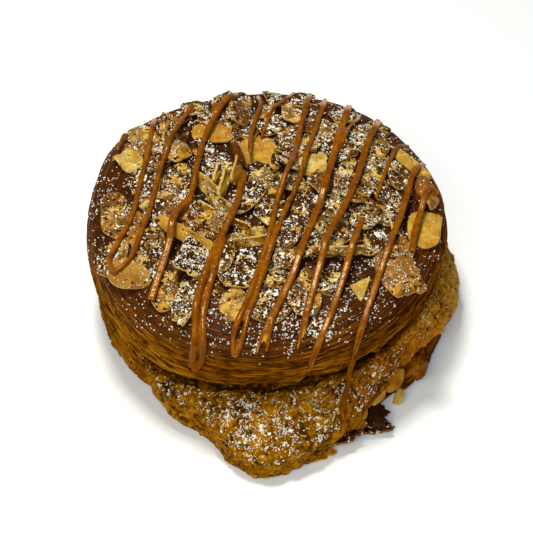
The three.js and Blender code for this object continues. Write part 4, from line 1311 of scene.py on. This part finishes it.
def draped(thick, way):
    """The middle line of a strand on the pile, stretched over its hollows."""
    rough = flowing_line([stop_point(stop, thick) for stop in way], DRAPE_STEP)
    inside = np.hypot(rough[:, 0], rough[:, 1]) < ROUND_RADIUS - 2
    for index in np.flatnonzero(inside):
        x, y, z = rough[index]
        rough[index, 2] = max(z, near_height(x, y, 1) + PRESSED * thick)
    for _ in range(3):
        for index in range(1, len(rough) - 1):
            chord = (rough[index - 1, 2] + rough[index + 1, 2]) / 2
            rough[index, 2] = max(rough[index, 2], chord - DEEPEST_SAG)
    fine = flowing_line(rough, STRAND_STEP)
    lift = np.zeros(len(fine))
    for index in np.flatnonzero(np.hypot(fine[:, 0], fine[:, 1]) < 45):
        x, y, z = fine[index]
        lift[index] = max(0.0, near_height(x, y, 0) + PRESSED * thick - z)
    kernel = np.array([1, 3, 5, 3, 1]) / 13
    fine[:, 2] += np.convolve(np.pad(lift, 2, mode="edge"), kernel, mode="valid")
    return fine


def side_by_side(line, thick):
    """Two strands in place of one, a little thinner and partly melted together."""
    run = np.gradient(line, axis=0)
    out = line * [1, 1, 0] / np.maximum(np.hypot(line[:, 0], line[:, 1]), 1)[:, None]
    share = smooth(33, 39, line[:, 2])[:, None]
    up = share * [0, 0, 1] + (1 - share) * out
    side = np.cross(run, up)
    side /= np.linalg.norm(side, axis=1)[:, None]
    return [line + side * PAIR_OFFSET * thick, line - side * PAIR_OFFSET * thick]


def strand_widths(count, thick, tip=0.0):
    """The half thickness along a strand: a round start, a round or pointed end, and slow swelling."""
    from_start = np.arange(count) * STRAND_STEP
    from_end = from_start[::-1]
    start, end = (
        np.sqrt(np.clip(1 - (1 - np.minimum(distance / thick, 1)) ** 2, 0.04, 1))
        for distance in (from_start, from_end)
    )
    if tip:
        end = np.clip(from_end / tip, 0.06, 1) ** 0.7
    swell = 1 + 0.09 * np.sin(from_start * 0.55 + thick * 40)
    return thick * start * end * swell


SINGLE_SHARE, PAIR_SHARE, TIP_LENGTH, TIP_STEPS = 0.97, 0.56, 4.5, 6
strands, widths = [], []
for thick, together, way in CARAMEL:
    line = draped(thick, way)
    lines, half = [line], SINGLE_SHARE * thick
    if together == 2:
        lines, half = side_by_side(line, thick), PAIR_SHARE * thick
    pointed = together == 2 and way[-1][0] == WALL
    if pointed:
        lines[-1] = lines[-1][:-TIP_STEPS]
    strands += lines
    widths += [strand_widths(len(line), half, TIP_LENGTH * pointed) for line in lines]
spilt = [draped(*(CARAMEL[-2][0], CARAMEL[-2][2]))[-1] + [0, 0, 1.5], [22.9, -44.9, 22.4]]
for x, y in SPILT_WAY:
    crust = cream_height(math.degrees(math.atan2(y, x)), math.hypot(x, y))
    spilt.append([x, y, float(crust) + 0.5])
spilt = flowing_line(spilt, STRAND_STEP)
print(len(strands), "strands on the crown, the longest", max(map(len, strands)), "steps")

# %% The caramel tree
caramel_tree, given, result = new_tree("swept_strands", [("Sides", "Int"), ("Material", "Material")])
lines = output(caramel_tree, "GeometryNodeMeshToCurve", {"Mesh": given("Geometry")})
ring = output(caramel_tree, "GeometryNodeCurvePrimitiveCircle", {
    "Resolution": given("Sides"), "Radius": 1.0,
})
swept = output(caramel_tree, "GeometryNodeCurveToMesh", {
    "Curve": lines, "Profile Curve": ring, "Scale": named(caramel_tree, "half"), "Fill Caps": True,
})
finish_tree(swept, given, result)

# %% Caramel material
caramel, tree, surface = new_material(
    "caramel", IOR=1.45, Specular_Tint=WARM, Subsurface_Weight=0.03, Subsurface_Scale=0.001
)
spot = object_place(tree)
height = output(tree, "ShaderNodeSeparateXYZ", {"Vector": spot}, "Z")
tone = (noise(spot, 5.0) * 0.8 + noise(spot, 1.2)) / 1.3
CARAMEL_TONES = [(0.3846, 92, 44, 0), (0.6538, 126, 68, 0), (0.9231, 156, 92, 0)]
colour = blend(attribute(tree, "thin"), colour_steps(tone, CARAMEL_TONES), screen(204, 142, 20))
colour = blend(attribute(tree, "pale"), colour, screen(214, 172, 138))
colour = blend(ramp(height, 31 * MM, 39 * MM, 0.45, 0.0), colour, screen(120, 66, 0))
shine = ramp(height, 30 * MM, 40 * MM, 0.008, 0.36)  # the strands hang dull on the wall
rough = ramp(tone, 0.3, 0.9, 0.34, 0.22)
feed(surface, Base_Color=colour, Roughness=rough, Specular_IOR_Level=shine)
raise_surface(surface, noise(spot, 1.4), 0.35, 0.2)

# %% Melting the strands together


def melted(name, lines, halves, voxel_mm):
    """One skin of caramel from strands that touch."""
    points = np.concatenate(lines)
    edges, start = [], 0
    for line in lines:
        edges += [[start + step, start + step + 1] for step in range(len(line) - 1)]
        start += len(line)
    piece = new_piece(name, points, [])
    piece.data.clear_geometry()
    piece.data.from_pydata((points * MM).tolist(), edges, [])
    mark(piece.data, "half", np.concatenate(halves) * MM)
    grown(piece, caramel_tree, {"Sides": 12, "Material": caramel})
    skin = piece.modifiers.new("skin", "REMESH")
    skin.mode = "VOXEL"
    skin.voxel_size = voxel_mm * MM
    skin.use_smooth_shade = True
    settle = piece.modifiers.new("settle", "SMOOTH")
    settle.factor, settle.iterations = 0.5, 4
    plain_mesh(piece)
    piece.data.shade_smooth()
    if not piece.data.materials:
        piece.data.materials.append(caramel)
    nearby = KDTree(len(points))
    for number, point in enumerate(points):
        nearby.insert(point, number)
    nearby.balance()
    close = [nearby.find(point.co / MM)[1] for point in piece.data.vertices]
    from_start = np.concatenate([np.arange(len(line)) * STRAND_STEP for line in lines])
    at_back = np.concatenate([np.full(len(line), line[0, 1] > 32) for line in lines])
    thin = smooth(0.5, 0.25, np.concatenate(halves)) * (from_start > 3)
    mark(piece.data, "thin", thin[close])
    mark(piece.data, "pale", 0.8 * (smooth(5, 1.5, from_start) * at_back)[close])
    return piece


crown_caramel = melted("crown_caramel", strands, widths, 0.30)
spilt_caramel = melted("spilt_caramel", [spilt], [strand_widths(len(spilt), 0.8, 5.0)], 0.25)

# %% [markdown]
# ## Broken crust and stray almonds
# At the right front of the lower half, dark shards of crust stick out at its foot, with a few almonds
# caught between them. They use the flake tree again, with jagged outlines and a darker finish.

# %% Shards and strays
CUTS |= {
    "shard": [(12, 0.4), (-30, 0.42), (172, 0.46), (95, 0.4)], "splinter": [(5, 0.45), (-80, 0.36)],
}
for number, kind in enumerate(("shard", "splinter")):
    OUTLINES.append(kind)
    flake_kinds.objects.link(flake_piece(f"flake_{8 + number}_{kind}", kind, 31 + number))
SHARD, SPLINTER = 8, 9

CRUST_SHARDS = [  # x, y, z, length, width, heading, pitch, roll, outline, toast, dust
    (28.6, -43.8, 4.2, 16, 8, -38, -6, 14, SHARD, 0.95, 0.3),
    (30, -48.6, 1.9, 12, 5, 2, 4, -8, SPLINTER, 0.7, 0.6),
    (24.2, -45.6, 2.6, 9, 3.5, 22, 0, 24, SPLINTER, 0.95, 0.1),
    (19, -53.2, 3.1, 19, 5.5, 13, 8, -14, SHARD, 0.62, 0.55),
]
STRAY_FLAKES = [
    (36, -37.8, 9.6, 7.8, 4.6, 44, 20, 50, OVAL, 0.5, 0.05),
    (31.6, -42.4, 7.6, 5.6, 1.8, 44, 22, 74, SLIVER, 0.2, 0),
    (37.4, -38.6, 3.2, 4.9, 3.1, 72, 35, 35, SLIVER, 0.12, 0),
    (26.8, -46.8, 5, 5, 2.4, 42, 20, 40, DROP, 0.3, 0),
    (25.2, -49.2, 4, 6.5, 2.2, 10, 6, 30, SLIVER, 0.62, 0.3),
    (14.6, -57, 1.3, 7, 4, 14, 0, 10, BROKEN, 0.42, 0),
    (18.4, -55.8, 1.1, 3.4, 2.6, -30, 0, 8, CORNER, 0.4, 0),
    (44, -31.4, 6.5, 7, 3.4, 56, 50, 40, BROKEN, 0.8, 0.1),
]

shard_crust, tree, surface = new_material("shard_crust", Specular_IOR_Level=0.2, Specular_Tint=WARM)
spot = object_place(tree)
crust = join_group(tree, browning, Bake=attribute(tree, "toast") * 1.7, Mottle=1.2)
# Reddish stripes over the dark crust are a painted sheen.
sheen_streaks = ramp(noise(spot * (0.5, 0.5, 1.6), 0.8, 3.0), 0.45, 0.62, 0.0, 0.6)
colour = blend(sheen_streaks, crust("Colour"), screen(66, 20, 4))
colour = blend(attribute(tree, "rim") * 0.6, colour, screen(160, 98, 16))
dust = join_group(tree, dusting, Colour=colour, Sugar=attribute(tree, "dust"), Cocoa=0.0, Grain=0.8)
feed(surface, Base_Color=dust("Colour"), Roughness=ramp(dust("Height"), 0, 1, 0.42, 0.85))
raise_surface(surface, noise(spot, 0.8, 4.0, 0.6), 0.9, 0.4)


def low_turn(heading, pitch, roll):
    """A turn from a heading, a rise of the tip and a roll about its own length."""
    turn = Matrix.Rotation(math.radians(heading), 3, "Z")
    turn = turn @ Matrix.Rotation(math.radians(-pitch), 3, "Y")
    return tuple((turn @ Matrix.Rotation(math.radians(roll), 3, "X")).to_euler())


def low_flakes(name, rows, thickness, material):
    places = [row[:3] for row in rows]
    turns = [low_turn(*row[5:8]) for row in rows]
    rows = [(*row[3:5], *row[8:]) for row in rows]
    return flakes_at(name, places, turns, rows, thickness, material)


crust_shards = low_flakes("crust_shards", CRUST_SHARDS, 1.0, shard_crust)
stray_almonds = low_flakes("stray_almonds", STRAY_FLAKES, 0.9, almond)

# %% [markdown]
# ## Torn sheets
# Where the roll was opened at the right front, the lowest sheets of the upper half tore and hang into the
# gap. Each is a thin ribbon that follows the wall, with a ragged lower edge that curls outwards.

# %% Torn sheets


def ragged(angles, seed, count=7):
    """An uneven line between 0 and 1, the sum of a few seeded waves with sharp peaks."""
    chips = seeded_draws(seed)
    line = sum(
        chips(0.2, 1) / k**0.5 * np.abs(np.sin(np.radians(angles) * chips(3, 9) * k + chips(0, 6)))
        for k in range(1, count)
    )
    return (line - line.min()) / (line.max() - line.min())


def torn_sheet(first, last, inset, length, seed):
    """Points and faces of one ribbon between two angles."""
    angles = np.arange(first, last, 0.5)
    ends = np.minimum(smooth(first, first + 5, angles), smooth(last, last - 5, angles))
    hang = length * ends * (0.25 + 0.75 * ragged(angles, seed))
    edge = around(CUT_EDGE, angles)
    radius = CUT_RADIUS - inset
    steps = np.array([0.0, 0.35, 0.7, 1.0])
    rows = []
    for side in (1, -1):
        for step in steps if side == 1 else steps[::-1]:
            curl = 1.5 * step**2 * ends * ragged(angles, seed + 9)
            thick = side * 0.16 * (1 - 0.6 * step)
            reach = radius + curl + thick + 0.25 * np.sin(np.radians(angles) * 21 + seed)
            rows.append(np.column_stack([
                reach * np.cos(np.radians(angles)), reach * np.sin(np.radians(angles)),
                edge + 0.9 - (hang + 0.9) * step,
            ]))
    points = np.stack(rows, axis=1)
    count, ring = points.shape[:2]
    faces = []
    for step in range(count - 1):
        for corner in range(ring):
            here, after = step * ring + corner, step * ring + (corner + 1) % ring
            faces.append([here, here + ring, after + ring, after])
    faces.append(list(range(ring)))
    faces.append([(count - 1) * ring + corner for corner in range(ring)][::-1])
    return points.reshape(-1, 3), faces


TORN_SHEETS = [  # first and last angle, distance inside the wall, length
    (-88, -20, 0.5, 1.8), (-80, -44, 1.3, 3.4), (-60, -22, 1.0, 3.0), (-72, -30, 2.4, 4.2),
    (-44, -8, 1.8, 3.0),
]
points, faces, start = [], [], 0
for number, row in enumerate(TORN_SHEETS):
    sheet_points, sheet_faces = torn_sheet(*row, 50 + number)
    faces += [[corner + start for corner in face] for face in sheet_faces]
    points.append(sheet_points)
    start += len(sheet_points)
points = np.concatenate(points)
torn_sheets = new_piece("torn_sheets", points, faces)
for mark_name, value in (("bake", 0.36), ("ridge", 0.5), ("slits", 0.7)):
    mark(torn_sheets.data, mark_name, np.full(len(points), value))
mark(torn_sheets.data, "layer_height", points[:, 2] * MM)
torn_sheets.data.materials.append(upper_crust)
print("torn sheets:", len(points), "points")

# %% [markdown]
# ## Powdered sugar and cocoa
# The finest dust is in the materials. The grains that stand up and catch light are real: Geometry Nodes
# scatters them over every surface that faces up, in clumps, and a ray cast upwards drops those that
# would lie under an almond or a strand of caramel, because dust only falls from above.

# %% The grain tree
LIFT, LONGEST_RAY, FULL_TURN = 0.3 * MM, 50 * MM, 6.28
CRYSTAL = {"Segments": 4, "Rings": 2, "Radius": 1}

grain_tree, given, result = new_tree("sifted_grains", [
    ("Cover", "Object"), ("Grains for each Square Metre", "Float"), ("Smallest", "Float"),
    ("Largest", "Float"), ("Clumps", "Float"), ("Seed", "Int"), ("Material", "Material"),
])
spot = output(grain_tree, "GeometryNodeInputPosition")
facing = output(grain_tree, "GeometryNodeInputNormal")
upward = ramp(output(grain_tree, "ShaderNodeSeparateXYZ", {"Vector": facing}, "Z"), 0.15, 0.7)
clump = ramp(noise(spot, 1.6, 3.0, 0.6), 0.46, 0.64, 0.04, 1.8)
clump = clump * ramp(noise(spot, 6.0), 0.38, 0.62, 0.35, 1.6)
clump = output(grain_tree, "ShaderNodeMix", {0: given("Clumps"), 2: 1.0, 3: clump})
density = upward * clump * named(grain_tree, "fall") * given("Grains for each Square Metre")
grains = output(grain_tree, "GeometryNodeDistributePointsOnFaces", {
    "Mesh": given("Geometry"), "Density": density, "Seed": given("Seed"),
})
cover = output(grain_tree, "GeometryNodeObjectInfo", {"Object": given("Cover")}, "Geometry")
covered = output(grain_tree, "GeometryNodeRaycast", {
    "Target Geometry": cover, "Source Position": spot + (0.0, 0.0, LIFT), "Ray Direction": (0, 0, 1),
    "Ray Length": LONGEST_RAY,
}, "Is Hit")
open_grains = output(grain_tree, "GeometryNodeDeleteGeometry", {
    "Geometry": grains, "Selection": covered,
}, domain="POINT")


def random_value(inputs, port=0, kind="FLOAT_VECTOR"):
    return output(grain_tree, "FunctionNodeRandomValue", inputs, port, data_type=kind)


spin = random_value({1: (FULL_TURN, FULL_TURN, FULL_TURN), "Seed": given("Seed")})
shape = random_value({0: (0.65, 0.65, 0.65), 1: (1.3, 1.3, 1.3), "Seed": 7})
size = random_value({2: given("Smallest"), 3: given("Largest"), "Seed": 11}, 1, "FLOAT")
copies = output(grain_tree, "GeometryNodeInstanceOnPoints", {
    "Points": open_grains,
    "Instance": output(grain_tree, "GeometryNodeMeshUVSphere", CRYSTAL),
    "Rotation": output(grain_tree, "FunctionNodeEulerToRotation", {"Euler": spin}),
    "Scale": scaled(shape, size),
})
finish_tree(copies, given, result)

# %% Sugar and cocoa materials


def grain_material(name, dark, light, **constants):
    material, tree, surface = new_material(name, **constants)
    shade = colour_steps(noise(object_place(tree), 1.5), [(0.35, *dark), (0.65, *light)])
    feed(surface, Base_Color=shade)
    return material


powder = grain_material(
    "powdered_sugar", (224, 214, 200), (252, 248, 240), Roughness=0.8, Subsurface_Weight=0.2,
    Subsurface_Scale=0.0005,
)
cocoa = grain_material("cocoa", (46, 20, 4), (84, 42, 12), Roughness=0.9)

# %% Sifting


def joined_copy(name, pieces, fall):
    """One mesh from copies of pieces, with how much dust falls on each point."""
    copies = []
    for piece in pieces:
        copy = piece.copy()
        copy.data = piece.data.copy()
        bpy.context.scene.collection.objects.link(copy)
        values = np.zeros(len(copy.data.vertices))
        source = copy.data.attributes.get(fall[piece.name][0])
        if source:
            source.data.foreach_get("value", values)
        mark(copy.data, "fall", np.clip(values * fall[piece.name][1], 0, 2))
        copies.append(copy)
    bpy.ops.object.select_all(action="DESELECT")
    for copy in copies:
        copy.select_set(True)
    bpy.context.view_layer.objects.active = copies[0]
    bpy.ops.object.join()
    copies[0].name = name
    return copies[0]


def sifted(name, pieces, fall, cover, values):
    """Grains over some pieces, as one piece."""
    piece = joined_copy(name, pieces, fall)
    grown(piece, grain_tree, values | {"Cover": cover})
    piece.data.shade_flat()
    return piece


dusted_pieces = [upper_half, crown_almonds, baked_cream]
no_fall = {"crown_almonds": ("dust", 0), "crown_caramel": ("", 0)}
cover = joined_copy("cover", [crown_almonds, crown_caramel], no_fall)
SUGAR_FALL = {
    "upper_half": ("sugar", 0.9), "crown_almonds": ("dust", 0.9), "baked_cream": ("sugar", 1.1),
}
sugar_grains = sifted("sugar_grains", dusted_pieces, SUGAR_FALL, cover, {
    "Grains for each Square Metre": 3.6e6, "Smallest": 0.11 * MM, "Largest": 0.32 * MM, "Clumps": 1.0,
    "Seed": 3, "Material": powder,
})
COCOA_FALL = {
    "upper_half": ("cocoa", 0.7), "crown_almonds": ("dust", 1.0), "baked_cream": ("sugar", 0.1),
}
cocoa_grains = sifted("cocoa_grains", dusted_pieces, COCOA_FALL, cover, {
    "Grains for each Square Metre": 1.2e6, "Smallest": 0.08 * MM, "Largest": 0.2 * MM, "Clumps": 0.9,
    "Seed": 5, "Material": cocoa,
})
bpy.data.objects.remove(cover)

# %% Pieces under one root, and the solids hidden
SLOTS = {
    "pastry_crown": [upper_half, torn_sheets], "pastry_wall": [lower_half, crust_shards],
    "baked_cream": [baked_cream], "flaked_almond": [crown_almonds, stray_almonds],
    "caramel": [crown_caramel, spilt_caramel], "sugar_dust": [sugar_grains, cocoa_grains],
}
for slot, pieces in SLOTS.items():
    for piece in pieces:
        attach(piece, "root")
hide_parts("pastry_top")
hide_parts("pastry_base")
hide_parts("almond_cream")
